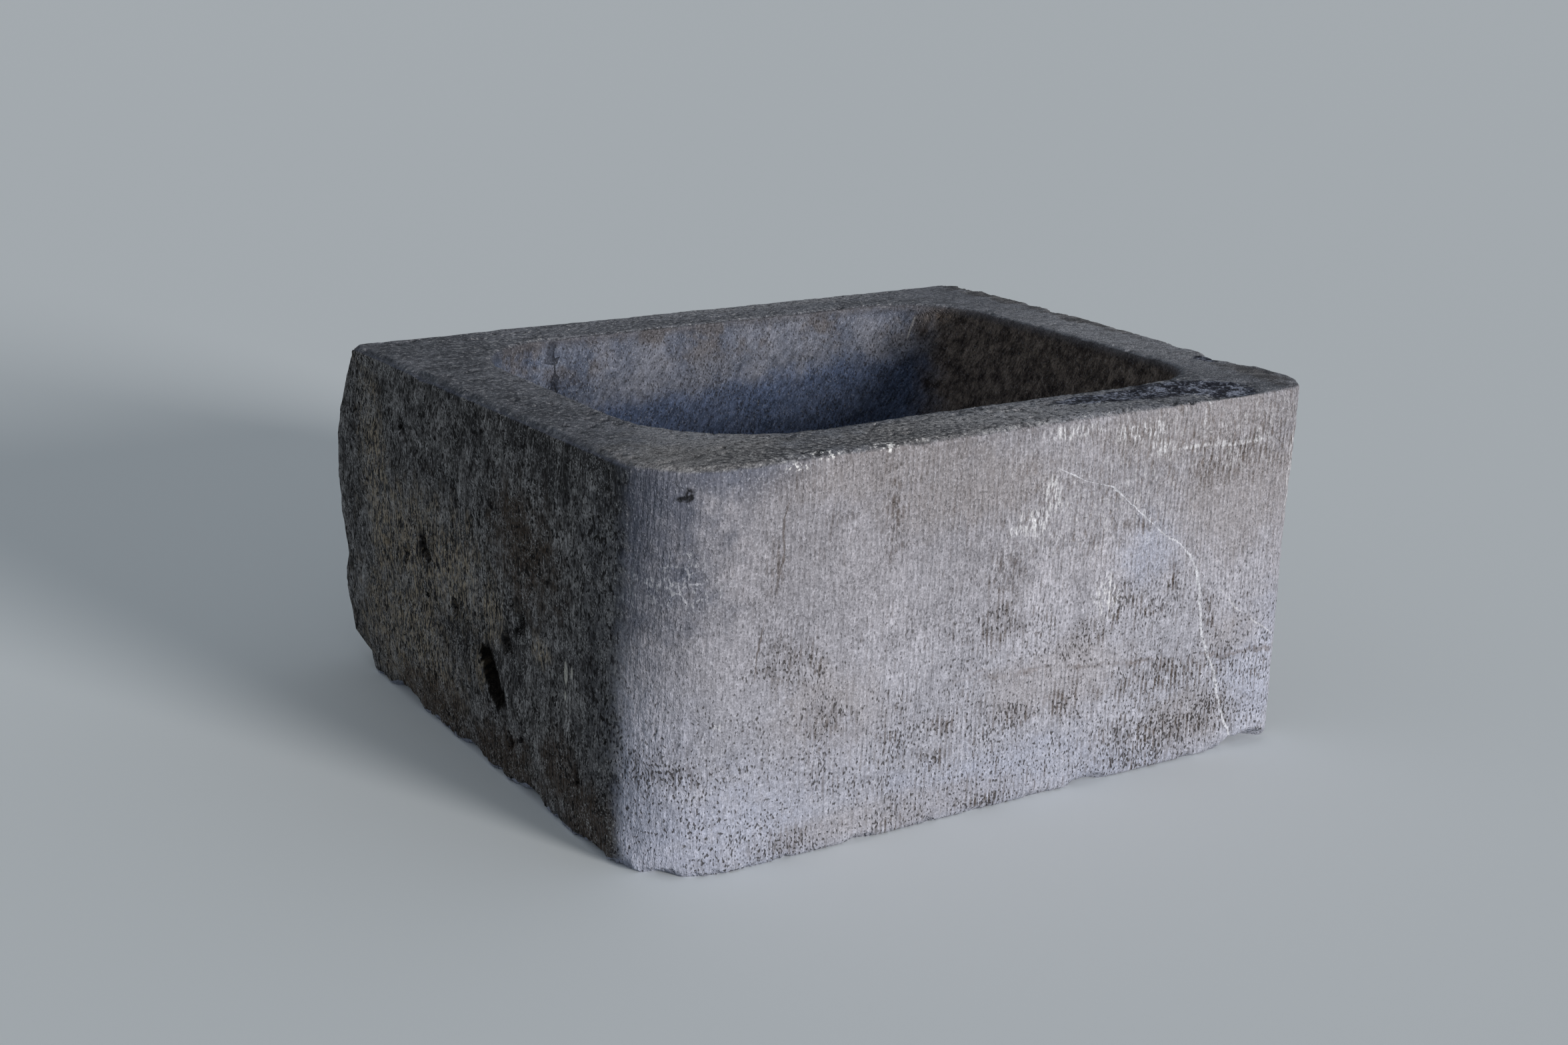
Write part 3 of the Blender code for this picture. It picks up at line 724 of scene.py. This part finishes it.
# The front is grey, warmer and darker above, bluer and paler below.
UMBER = colour(0.105, 0.085, 0.075)
SOOT = colour(0.050, 0.044, 0.042)
LIME = colour(0.72, 0.71, 0.73)
PLAIN = colour(1.0, 1.0, 1.0)
front_stone = tint(step(add(z, both(broad, 0.12)), 0.02, 0.36),
                   colour(0.398, 0.402, 0.458), colour(0.318, 0.305, 0.330))
for noise_of_it, least, most in (
        (broad, 0.92, 1.08), (cloudy, 0.86, 1.14), (streaks, 0.93, 1.07), (blotch, 0.90, 1.10),
        (fibres, 0.83, 1.17)):
    front_stone = tint(1.0, front_stone, step(noise_of_it, 0.28, 0.72, least, most), "MULTIPLY")
front_stone = tint(1.0, front_stone, step(x, -0.28, 0.25, 0.95, 1.06), "MULTIPLY")
bright = patches((
    (on_front(0.390, 0.190), (0.300, 0, 0.085)), (on_front(0.650, 0.070), (0.050, 0, 0.060))),
    uneven=2.0, soft=1.6)
front_stone = tint(1.0, front_stone, step(bright, 0.0, 1.0, 1.0, 1.22), "MULTIPLY")
# Paler and bluer low on the front left corner: painted light wrapping round the corner.
painted_light_low_corner = patches(((on_front(-0.014, 0.060), (0.046, 0, 0.100)),), soft=1.6)
front_stone = tint(1.0, front_stone, tint(painted_light_low_corner, PLAIN, colour(1.50, 1.52, 1.58)), "MULTIPLY")
lavender = patches((
    (on_front(0.075, 0.035), (0.070, 0, 0.045)), (on_front(0.499, 0.215), (0.034, 0, 0.026)),
    (on_front(0.635, 0.070), (0.040, 0, 0.050)), (on_front(0.330, 0.030), (0.100, 0, 0.025)),
    (on_front(0.150, 0.080), (0.060, 0, 0.030)), (on_front(0.480, 0.012), (0.090, 0, 0.012))),
    uneven=2.4, soft=1.8)
front_stone = tint(both(lavender, step(fibres, 0.25, 0.60, 0.25, 0.65)), front_stone,
                   colour(0.43, 0.455, 0.56))
# Darker blue-grey at the top of the front left corner and along the top edge: partly stain, partly
# painted shade.
stain_and_shade_top_left = patches((
    (on_front(-0.010, 0.310), (0.065, 0, 0.090)), (on_front(0.070, 0.345), (0.060, 0, 0.024))),
    soft=1.4)
front_stone = tint(both(stain_and_shade_top_left, 0.74), front_stone, colour(0.092, 0.106, 0.148))
tan = patches((
    (on_front(0.160, 0.110), (0.060, 0, 0.050)), (on_front(0.300, 0.300), (0.090, 0, 0.030)),
    (on_front(0.400, 0.110), (0.080, 0, 0.030)), (on_front(0.600, 0.250), (0.080, 0, 0.060)),
    (on_front(0.230, 0.020), (0.120, 0, 0.016)), (on_front(0.560, 0.040), (0.050, 0, 0.030)),
    (on_front(0.530, 0.325), (0.120, 0, 0.026)), (on_front(0.200, 0.330), (0.110, 0, 0.022)),
    (on_front(0.608, 0.118), (0.030, 0, 0.018))))
front_stone = tint(both(tan, 0.30), front_stone, colour(0.33, 0.29, 0.272))

# Dirt sits in the flutes, in smudges and along the bedding plane. Each smudge has a place
# along the front, a height, and how far it reaches sideways and upwards.
DIRT = (
    (0.532, 0.090, 0.060, 0.016), (0.407, 0.087, 0.016, 0.016), (0.335, 0.218, 0.011, 0.014),
    (0.333, 0.168, 0.016, 0.022), (0.467, 0.173, 0.010, 0.016), (0.122, 0.175, 0.022, 0.016),
    (0.512, 0.032, 0.044, 0.022), (0.163, 0.114, 0.022, 0.012), (0.528, 0.182, 0.006, 0.010),
    (0.502, 0.157, 0.012, 0.008), (0.575, 0.138, 0.007, 0.018),
    (0.594, 0.290, 0.050, 0.020), (0.485, 0.241, 0.016, 0.006), (0.218, 0.295, 0.008, 0.030),
    (0.104, 0.259, 0.006, 0.018), (0.023, 0.091, 0.020, 0.016), (0.122, 0.018, 0.016, 0.008),
    (0.331, 0.009, 0.026, 0.006), (0.365, 0.081, 0.020, 0.006), (0.280, 0.092, 0.016, 0.008),
    (0.575, 0.040, 0.026, 0.016), (0.440, 0.150, 0.016, 0.010), (0.270, 0.060, 0.016, 0.010))
dirt = patches([(on_front(along_front, up), (width, 0, height))
                for along_front, up, width, height in DIRT], uneven=2.6, soft=2.0)
BEDDING_FALL = -0.105
BEDDING_UP = 0.1255
bedding_up = add(maths("MULTIPLY_ADD", x, BEDDING_FALL, BEDDING_UP),
                 both(less(blotch, 0.5), 0.016), both(less(cloudy, 0.5), 0.030))
bedding = step(maths("ABSOLUTE", less(z, bedding_up)), 0.0036, 0.0006)
bedding = both(bedding, step(x, -0.10, 0.02), step(crowding, 0.36, 0.54), step(grain, 0.30, 0.50))
low_down = step(z, 0.22, 0.02)
filth = add(both(dirt, 0.45), both(low_down, 0.20), both(less(crowding, 0.5), 1.6))
# Dark flute bottoms are dirt and partly painted shade; pale ridges are partly painted highlight.
front_stone = tint(both(groove, crisp, step(filth, -0.10, 0.60, 0.28, 0.95)), front_stone, UMBER)
front_stone = tint(both(ridge, crisp, 0.32), front_stone, colour(0.54, 0.54, 0.59))
front_stone = tint(both(dirt, step(fibres, 0.60, 0.34), 0.38), front_stone, UMBER)
inked = both(dirt, crisp, step(bottom, 0.80, 0.30), step(dashes, 0.40, 0.54), off_seam)
front_stone = tint(both(inked, 0.90), front_stone, UMBER)
front_stone = tint(both(bedding, 0.60), front_stone, colour(0.15, 0.12, 0.11))
brushed = patches((
    (on_front(0.540, 0.312), (0.140, 0, 0.034)), (on_front(0.440, 0.270), (0.090, 0, 0.050))),
    uneven=2.0, soft=1.6)
front_stone = tint(both(brushed, step(fibres, 0.44, 0.34), 0.50), front_stone,
                   colour(0.190, 0.155, 0.135))
front_stone = tint(both(brushed, step(fibres, 0.56, 0.68), 0.55), front_stone, colour(0.60, 0.59, 0.60))
pits = step(less(pin_holes, both(filth, 0.24)), 0.262, 0.205)
pits = both(pits, step(add(z, both(crowding, 0.10)), 0.32, 0.20, 0.35, 1.0))
front_stone = tint(both(pits, 0.85), front_stone, SOOT)
front_stone = tint(both(step(fine_grain, 0.60, 0.72), 0.30), front_stone, colour(0.56, 0.56, 0.60))
corner_pit = patches((
    (on_front(0.0332, 0.3280), (0.0030, 0, 0.0050)), (on_front(0.0300, 0.3242), (0.0044, 0, 0.0020))),
    uneven=3.2, soft=1.0)
front_stone = tint(both(corner_pit, step(grain, 0.66, 0.50, 0.3, 0.95)), front_stone,
                   colour(0.02, 0.02, 0.022))

# White calcite veins and two old cracks, each a route of places (along the front, up).
VEIN = (
    (0.619, 0.003), (0.612, 0.016), (0.603, 0.032), (0.5975, 0.048), (0.592, 0.064),
    (0.587, 0.082), (0.580, 0.096), (0.572, 0.114), (0.5665, 0.1275), (0.562, 0.155),
    (0.557, 0.182), (0.5485, 0.200), (0.535, 0.215), (0.512, 0.228), (0.492, 0.245),
    (0.469, 0.264), (0.449, 0.281), (0.419, 0.290), (0.385, 0.307))
SIDE_VEIN = ((0.657, 0.109), (0.628, 0.1275), (0.607, 0.143), (0.596, 0.155), (0.585, 0.166))
UPPER_CRACK = ((0.107, 0.250), (0.112, 0.272), (0.110, 0.290), (0.115, 0.316))
LOWER_CRACK = ((0.086, 0.168), (0.090, 0.195), (0.095, 0.220))
cracks = add(line(UPPER_CRACK, 0.0007), line(LOWER_CRACK, 0.0007))
front_stone = tint(both(cracks, 0.65), front_stone, UMBER)
broken = both(step(grain, 0.34, 0.48, 0.35, 1.0), step(blotch, 0.24, 0.36))
front_stone = tint(both(line(VEIN, 0.0011), broken, 0.85), front_stone, colour(0.68, 0.68, 0.72))
front_stone = tint(both(line(SIDE_VEIN, 0.0010), step(blotch, 0.38, 0.55), 0.60), front_stone, LIME)

# Old limewash is left in a few places as scuffs, crumbs and brush marks.
lime = patches((
    (on_front(0.406, 0.336), (0.036, 0, 0.006)), (on_front(0.476, 0.328), (0.026, 0, 0.008)),
    (on_front(0.500, 0.311), (0.020, 0, 0.006)),
    (on_front(0.366, 0.262), (0.017, 0, 0.011)), (on_front(0.382, 0.282), (0.010, 0, 0.016)),
    (on_front(0.345, 0.256), (0.010, 0, 0.004)), (on_front(0.553, 0.336), (0.004, 0, 0.018)),
    (on_front(0.664, 0.270), (0.005, 0, 0.040)), (on_front(0.056, 0.133), (0.004, 0, 0.004)),
    (on_front(0.450, 0.180), (0.012, 0, 0.020))), uneven=1.4)
front_stone = tint(both(lime, step(fibres, 0.47, 0.58), step(bottom, 0.0, 0.9, 0.45, 0.95)),
                   front_stone, LIME)
scraped = patches((
    (on_front(0.597, 0.3030), (0.034, 0, 0.0022)), (on_front(0.545, 0.3060), (0.026, 0, 0.0016))),
    uneven=1.4)
front_stone = tint(both(scraped, step(fibres, 0.42, 0.60), 0.75), front_stone, LIME)
crumbs = patches((
    (on_front(0.151, 0.348), (0.012, 0, 0.004)), (on_front(0.209, 0.347), (0.010, 0, 0.004)),
    (on_front(0.122, 0.341), (0.010, 0, 0.004))), uneven=0.6)
crumbs = both(crumbs, step(grain, 0.54, 0.60), step(y, -0.325, -0.332))
crazing = put("ShaderNodeTexVoronoi", {"Vector": place, "Scale": 1 / 0.013},
              feature="DISTANCE_TO_EDGE")
crazed = patches((
    (on_front(0.022, 0.248), (0.045, 0, 0.016)), (on_front(0.030, 0.272), (0.020, 0, 0.010))),
    uneven=1.8)
crazed = both(crazed, step(add(crazing, both(less(grain, 0.5), 0.50)), 0.08, 0.00))
front_stone = tint(both(crazed, step(fibres, 0.40, 0.55), 0.70), front_stone, colour(0.56, 0.56, 0.60))

# The left face is almost black with weather and soot, and lichen has grown on it. Its dark base colour
# is partly painted shade, as the face is turned from the light.
left_stone = tint(step(cloudy, 0.30, 0.66), colour(0.088, 0.084, 0.085), colour(0.238, 0.226, 0.220))
for noise_of_it, least, most in ((streaks, 0.60, 1.45), (fibres, 0.30, 1.75), (blotch, 0.55, 1.45)):
    left_stone = tint(1.0, left_stone, step(noise_of_it, 0.28, 0.72, least, most), "MULTIPLY")
left_stone = tint(both(step(add(y, both(less(blotch, 0.5), 0.10)), -0.17, -0.30), 0.6), left_stone,
                  colour(0.180, 0.180, 0.195))
lichen = patches((
    (on_side(0.430, 0.170), (0, 0.120, 0.050)), (on_side(0.386, 0.159), (0, 0.030, 0.045)),
    (on_side(0.304, 0.159), (0, 0.025, 0.028)), (on_side(0.204, 0.148), (0, 0.015, 0.012)),
    (on_side(0.335, 0.095), (0, 0.018, 0.016)), (on_side(0.500, 0.070), (0, 0.110, 0.060)),
    (on_side(0.560, 0.200), (0, 0.030, 0.110))), uneven=1.8, soft=1.4)
left_stone = tint(both(lichen, step(fibres, 0.42, 0.58), 0.85), left_stone, colour(0.520, 0.420, 0.300))
rusty = patches((
    (on_side(0.290, 0.015), (0, 0.080, 0.034)), (on_side(0.175, 0.050), (0, 0.040, 0.030)),
    (on_side(0.450, 0.020), (0, 0.080, 0.030)), (on_side(0.100, 0.020), (0, 0.060, 0.030)),
    (on_side(0.230, 0.230), (0, 0.060, 0.050))),
    uneven=1.8, soft=1.2)
left_stone = tint(both(rusty, 0.80), left_stone, colour(0.092, 0.064, 0.045))
# Darker round the pocket, round the holes and under the top arris: painted shade, with some soot.
soot_and_painted_shade = patches((
    (on_side(0.296, 0.084), (0, 0.020, 0.034)), (on_side(0.255, 0.140), (0, 0.024, 0.036)),
    (on_side(0.450, 0.176), (0, 0.024, 0.020)), (on_side(0.130, 0.340), (0, 0.140, 0.030)),
    (on_side(0.380, 0.110), (0, 0.040, 0.030))), uneven=2.2, soft=1.0)
left_stone = tint(both(soot_and_painted_shade, step(fibres, 0.66, 0.44, 0.35, 0.85)), left_stone,
                  colour(0.030, 0.028, 0.028))
# Flutes on the left: dark bottoms partly painted shade, pale ridges partly painted highlight.
left_stone = tint(both(groove, 0.50), left_stone, colour(0.040, 0.036, 0.034))
left_stone = tint(both(ridge, step(z, 0.20, 0.06, 0.20, 0.50)), left_stone, colour(0.28, 0.275, 0.28))
left_stone = tint(both(step(grain, 0.46, 0.36), 0.60), left_stone, colour(0.045, 0.042, 0.042))
left_stone = tint(both(step(grain, 0.58, 0.68), 0.45), left_stone, colour(0.34, 0.325, 0.315))
left_stone = tint(both(step(fine_grain, 0.56, 0.67), step(blotch, 0.40, 0.58), 0.75), left_stone,
                  colour(0.48, 0.465, 0.455))
rough_pits = step(less(pin_holes, both(less(crowding, 0.45), 0.40)), 0.330, 0.260)
left_stone = tint(both(rough_pits, 0.90), left_stone, colour(0.012, 0.011, 0.011))
peck_marks = step(less(mottle(tall, 0.0052, 1.0), both(less(crowding, 0.45), 0.34)), 0.350, 0.310)
left_stone = tint(both(peck_marks, 0.90), left_stone, colour(0.012, 0.011, 0.011))
chalked = patches((
    (on_side(0.157, 0.142), (0, 0.0028, 0.010)), (on_side(0.146, 0.146), (0, 0.0020, 0.005)),
    (on_side(0.158, 0.122), (0, 0.0018, 0.004))), uneven=0.5, soft=0.6)
left_stone = tint(both(chalked, 0.90), left_stone, colour(0.74, 0.70, 0.62))
sooty = patches(((on_front(-0.019, 0.026), (0.009, 0, 0.020)),), uneven=0.8, soft=0.5)
front_stone = tint(both(sooty, 0.75), front_stone, colour(0.075, 0.075, 0.085))

# The rim is scoured grey and gritty. Water has stood and left it black near the right end.
rim_stone = tint(step(cloudy, 0.30, 0.70), colour(0.155, 0.160, 0.180), colour(0.235, 0.240, 0.268))
rim_stone = tint(1.0, rim_stone, step(x, -0.28, -0.20, 0.86, 1.0), "MULTIPLY")
sandy = patches(((on_top(0.060, 0.045), (0.085, 0.060, 0)), (on_top(0.280, 0.030), (0.120, 0.030, 0))))
rim_stone = tint(both(sandy, 0.60), rim_stone, colour(0.330, 0.312, 0.300))
worn_pale = patches((
    (on_top(0.650, 0.260), (0.050, 0.160, 0)), (on_top(0.440, 0.590), (0.160, 0.030, 0)),
    (on_top(0.380, 0.035), (0.110, 0.032, 0)), (on_top(0.090, 0.120), (0.040, 0.050, 0))))
rim_stone = tint(both(worn_pale, 0.60), rim_stone, colour(0.36, 0.36, 0.385))
wet = patches((
    (on_top(0.455, 0.048), (0.035, 0.014, 0)), (on_top(0.500, 0.047), (0.040, 0.018, 0)),
    (on_top(0.545, 0.046), (0.040, 0.024, 0)), (on_top(0.586, 0.032), (0.032, 0.022, 0)),
    (on_top(0.602, 0.016), (0.018, 0.012, 0)), (on_top(0.664, 0.129), (0.010, 0.014, 0))),
    uneven=1.0, soft=0.25)
rim_stone = tint(both(wet, 0.96), rim_stone, tint(
    step(add(both(grain, 0.5), both(blotch, 0.5)), 0.46, 0.60),
    colour(0.020, 0.022, 0.035), colour(0.270, 0.290, 0.365)))
rim_stone = tint(1.0, rim_stone, step(blotch, 0.30, 0.70, 0.80, 1.20), "MULTIPLY")
gritty = both(step(x, 0.22, 0.29, 1.0, 0.40), step(x, -0.32, -0.22, 0.55, 1.0))
rim_stone = tint(both(step(grain, 0.46, 0.35), gritty, 0.80), rim_stone, colour(0.045, 0.045, 0.050))
rim_stone = tint(both(step(grain, 0.55, 0.66), less(1.0, both(wet, 0.85)), gritty, 0.70), rim_stone,
                 colour(0.48, 0.47, 0.475))
flaked = patches((
    (on_top(0.694, 0.150), (0.016, 0.070, 0)), (on_top(0.692, 0.330), (0.020, 0.100, 0)),
    (on_top(0.690, 0.500), (0.020, 0.080, 0)), (on_top(0.664, 0.060), (0.016, 0.040, 0))),
    uneven=1.8, soft=0.7)
rim_stone = tint(both(flaked, 0.70), rim_stone, tint(
    step(blotch, 0.42, 0.58), colour(0.085, 0.080, 0.080), colour(0.220, 0.206, 0.202)))
mossy = patches((
    (on_top(0.110, 0.020), (0.070, 0.022, 0)), (on_top(0.020, 0.300), (0.016, 0.200, 0)),
    (on_top(0.210, 0.024), (0.110, 0.024, 0)), (on_top(0.040, 0.520), (0.050, 0.040, 0))),
    uneven=2.4, soft=1.4)
rim_stone = tint(both(mossy, step(grain, 0.60, 0.46), 0.52), rim_stone, colour(0.055, 0.058, 0.068))

# The basin is blue-grey and brown with old scale on its right wall. Below a line that slopes under the
# rim it is painted darker and bluer as the shadow of the front rim.
gouge = put("ShaderNodeTexNoise", {
    "Vector": put("ShaderNodeCombineXYZ", {
        0: both(add(round_it, both(z, BASIN_SLANT)), 1 / 0.0065), 1: both(z, 1 / 0.014)}),
    "Scale": 1.0, "Detail": 5.0, "Roughness": 0.75})
gouge = maths("MAXIMUM", gouge, both(less(1.0, off_seam), 0.5))
basin_stone = tint(step(cloudy, 0.35, 0.65), colour(0.122, 0.136, 0.178), colour(0.215, 0.223, 0.265))
# The gouges are shaded in the colour: painted shade in their bottoms, painted highlight on their
# ridges.
basin_stone = tint(1.0, basin_stone, step(gouge, 0.30, 0.70, 0.62, 1.40), "MULTIPLY")
rim_shadow_painted = step(add(z, both(x, -0.060), both(cloudy, 0.04)), 0.315, 0.285)
basin_stone = tint(both(rim_shadow_painted, 0.80), basin_stone, tint(
    1.0, colour(0.078, 0.108, 0.188), step(gouge, 0.30, 0.70, 0.45, 1.75), "MULTIPLY"))
# Darker and bluer in the basin's back left corner: painted shade.
painted_corner_shade = patches(((on_top(0.110, 0.500), (0.080, 0.090, 0)),), soft=1.4)
basin_stone = tint(1.0, basin_stone, tint(painted_corner_shade, PLAIN, colour(0.60, 0.66, 0.74)), "MULTIPLY")
ochre = both(step(z, 0.290, 0.330), step(crowding, 0.46, 0.60))
basin_stone = tint(both(ochre, 0.55), basin_stone, colour(0.140, 0.118, 0.104))
scaly = both(step(add(face_x, both(less(blotch, 0.5), 0.5)), -0.55, -0.90), in_basin)
basin_stone = tint(both(scaly, 0.95), basin_stone, tint(
    step(add(both(gouge, 0.6), both(blotch, 0.4)), 0.38, 0.66),
    colour(0.050, 0.037, 0.031), colour(0.370, 0.300, 0.245)))
basin_stone = tint(both(rough_pits, 0.60), basin_stone, colour(0.035, 0.032, 0.032))
CHALK_X = FRONT_LEFT[0] + 0.578
CHALK_Z = 0.322
CHALK_LEAN = 0.30
off_chalk = less(less(x, CHALK_X), both(less(z, CHALK_Z), CHALK_LEAN))
chalk = both(step(maths("ABSOLUTE", off_chalk), 0.0011, 0.0006),
             step(z, 0.310, 0.313), step(z, 0.337, 0.334), step(y, 0.10, 0.12))
basin_stone = tint(both(chalk, 0.60), basin_stone, colour(0.42, 0.41, 0.41))
basin_stone = tint(both(step(fine_grain, 0.60, 0.72), 0.30), basin_stone, colour(0.42, 0.42, 0.45))

# The back and the right side are broken and dressed stone that stood against walls.
rear_stone = tint(step(cloudy, 0.30, 0.70), colour(0.225, 0.212, 0.205), colour(0.345, 0.330, 0.318))
rear_stone = tint(both(step(blotch, 0.52, 0.70), 0.40), rear_stone, colour(0.43, 0.42, 0.415))
rear_stone = tint(both(step(grain, 0.45, 0.34), 0.45), rear_stone, colour(0.12, 0.11, 0.105))
rear_stone = tint(both(rough_pits, 0.50), rear_stone, SOOT)
weathered_right = tint(step(low_down, 0.0, 1.0, 0.15, 0.45), front_stone, rear_stone)

surface = tint(on_left, front_stone, left_stone)
surface = tint(on_right, surface, weathered_right)
surface = tint(on_back, surface, rear_stone)
surface = tint(on_rim, surface, rim_stone)
surface = tint(in_basin, surface, basin_stone)
surface = tint(both(crumbs, 0.90), surface, colour(0.80, 0.79, 0.78))
surface = tint(1.0, surface, step(fine_grain, 0.25, 0.75, 0.82, 1.18), "MULTIPLY")
surface = tint(1.0, surface, step(grain, 0.25, 0.75, 0.86, 1.14), "MULTIPLY")
# Carved hollows are darkened: partly dirt, partly painted shade.
surface = tint(dirt_and_shade_in_hollows, surface, tint(1.0, surface, colour(0.08, 0.07, 0.06), "MULTIPLY"))
wires.new(surface, shader.inputs["Base Color"])

# Relief too fine for the mesh, in shares of a millimetre.
relief = add(both(grain, 0.65), both(fine_grain, 0.45), both(on_rim, fine_grain, 0.60))
fluted = both(step(bottom, 0.0, 0.9), crisp, step(dashes, 0.30, 0.70, 0.85, 0.25))
relief = add(relief, both(add(fluted, both(fibres, 1.1)), less(1.0, on_rim)))
relief = add(relief, both(in_basin, gouge, 2.5))
relief = less(relief, both(maths("MAXIMUM", pits, rough_pits), 0.8))
bumps = put("ShaderNodeBump", {"Height": relief, "Strength": 1.0, "Distance": 0.001})
wires.new(bumps, shader.inputs["Normal"])
wires.new(step(blotch, 0.2, 0.8, 0.96, 0.84), shader.inputs["Roughness"])
shader.inputs["Specular IOR Level"].default_value = 0.10
block.data.materials.append(stone)
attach(block, "root")
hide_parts("sink_block")

# The floor, the light and the camera of the picture, none of which is part of the sink. The
# floor is a plain pale one, and the backdrop is the world's own colour.
FLOOR_SIZE = 200
FLOOR_GIVES = colour(0.34, 0.39, 0.43)
FLOOR_LOOKS = colour(0.95, 0.985, 1.0)
SKY_GIVES = colour(0.84, 0.92, 1.0)
SKY_LOOKS = colour(0.402, 0.432, 0.453)
SKY_STRENGTH = 0.27
bpy.ops.mesh.primitive_plane_add(size=FLOOR_SIZE)
floor = bpy.context.object
floor.name = "floor"
paint = bpy.data.materials.new("pale_floor")
paint.use_nodes = True
nodes, wires = paint.node_tree.nodes, paint.node_tree.links


def looked_at():
    """1 where the camera sees this, also in a reflection or through glass, or else 0."""
    rays = nodes.new("ShaderNodeLightPath").outputs
    return add(rays["Is Camera Ray"], rays["Is Glossy Ray"], rays["Is Transmission Ray"])


# The paint looks pale to the camera and sends less light back to the sink.
seen = looked_at()
wires.new(tint(seen, FLOOR_GIVES, FLOOR_LOOKS), nodes["Principled BSDF"].inputs["Base Color"])
nodes["Principled BSDF"].inputs["Roughness"].default_value = 0.95
floor.data.materials.append(paint)

world = bpy.data.worlds.new("studio")
bpy.context.scene.world = world
world.use_nodes = True
nodes, wires = world.node_tree.nodes, world.node_tree.links
seen = looked_at()
wires.new(tint(seen, SKY_GIVES, SKY_LOOKS), nodes["Background"].inputs["Color"])
wires.new(step(seen, 0.0, 1.0, SKY_STRENGTH, 1.0), nodes["Background"].inputs["Strength"])

# A wide soft sun, low and a little to the right of the front, as from a window.
KEY_STRENGTH = 2.65
KEY_SPREAD = 15
KEY_AZIMUTH = 17
KEY_ELEVATION = 10
lamp = bpy.data.lights.new("key", "SUN")
lamp.energy = KEY_STRENGTH
lamp.angle = math.radians(KEY_SPREAD)
lamp.color = (1.0, 0.985, 0.97)
key = bpy.data.objects.new("key", lamp)
bpy.context.scene.collection.objects.link(key)
azimuth = math.radians(KEY_AZIMUTH)
elevation = math.radians(KEY_ELEVATION)
towards_key = Vector((
    math.sin(azimuth) * math.cos(elevation), -math.cos(azimuth) * math.cos(elevation),
    math.sin(elevation)))
key.rotation_euler = (-towards_key).to_track_quat("-Z", "Y").to_euler()

# The camera that was fitted to the block's edges: it looks along its own -Z axis, turned
# first about that axis, then up from straight down, then round the upright.
CAMERA_PLACE = (-1.1055, -1.7590, 0.7840)
CAMERA_ROUND = -31.65
CAMERA_UP = 73.772
CAMERA_ROLL = 0.531
lens = bpy.data.cameras.new("camera")
lens.lens = 50.38
lens.sensor_width = 36.0
camera = bpy.data.objects.new("camera", lens)
bpy.context.scene.collection.objects.link(camera)
camera.matrix_world = (
    Matrix.Translation(CAMERA_PLACE)
    @ Matrix.Rotation(math.radians(CAMERA_ROUND), 4, "Z")
    @ Matrix.Rotation(math.radians(CAMERA_UP), 4, "X")
    @ Matrix.Rotation(math.radians(CAMERA_ROLL), 4, "Z"))
bpy.context.scene.camera = camera
bpy.context.scene.view_settings.view_transform = "Standard"
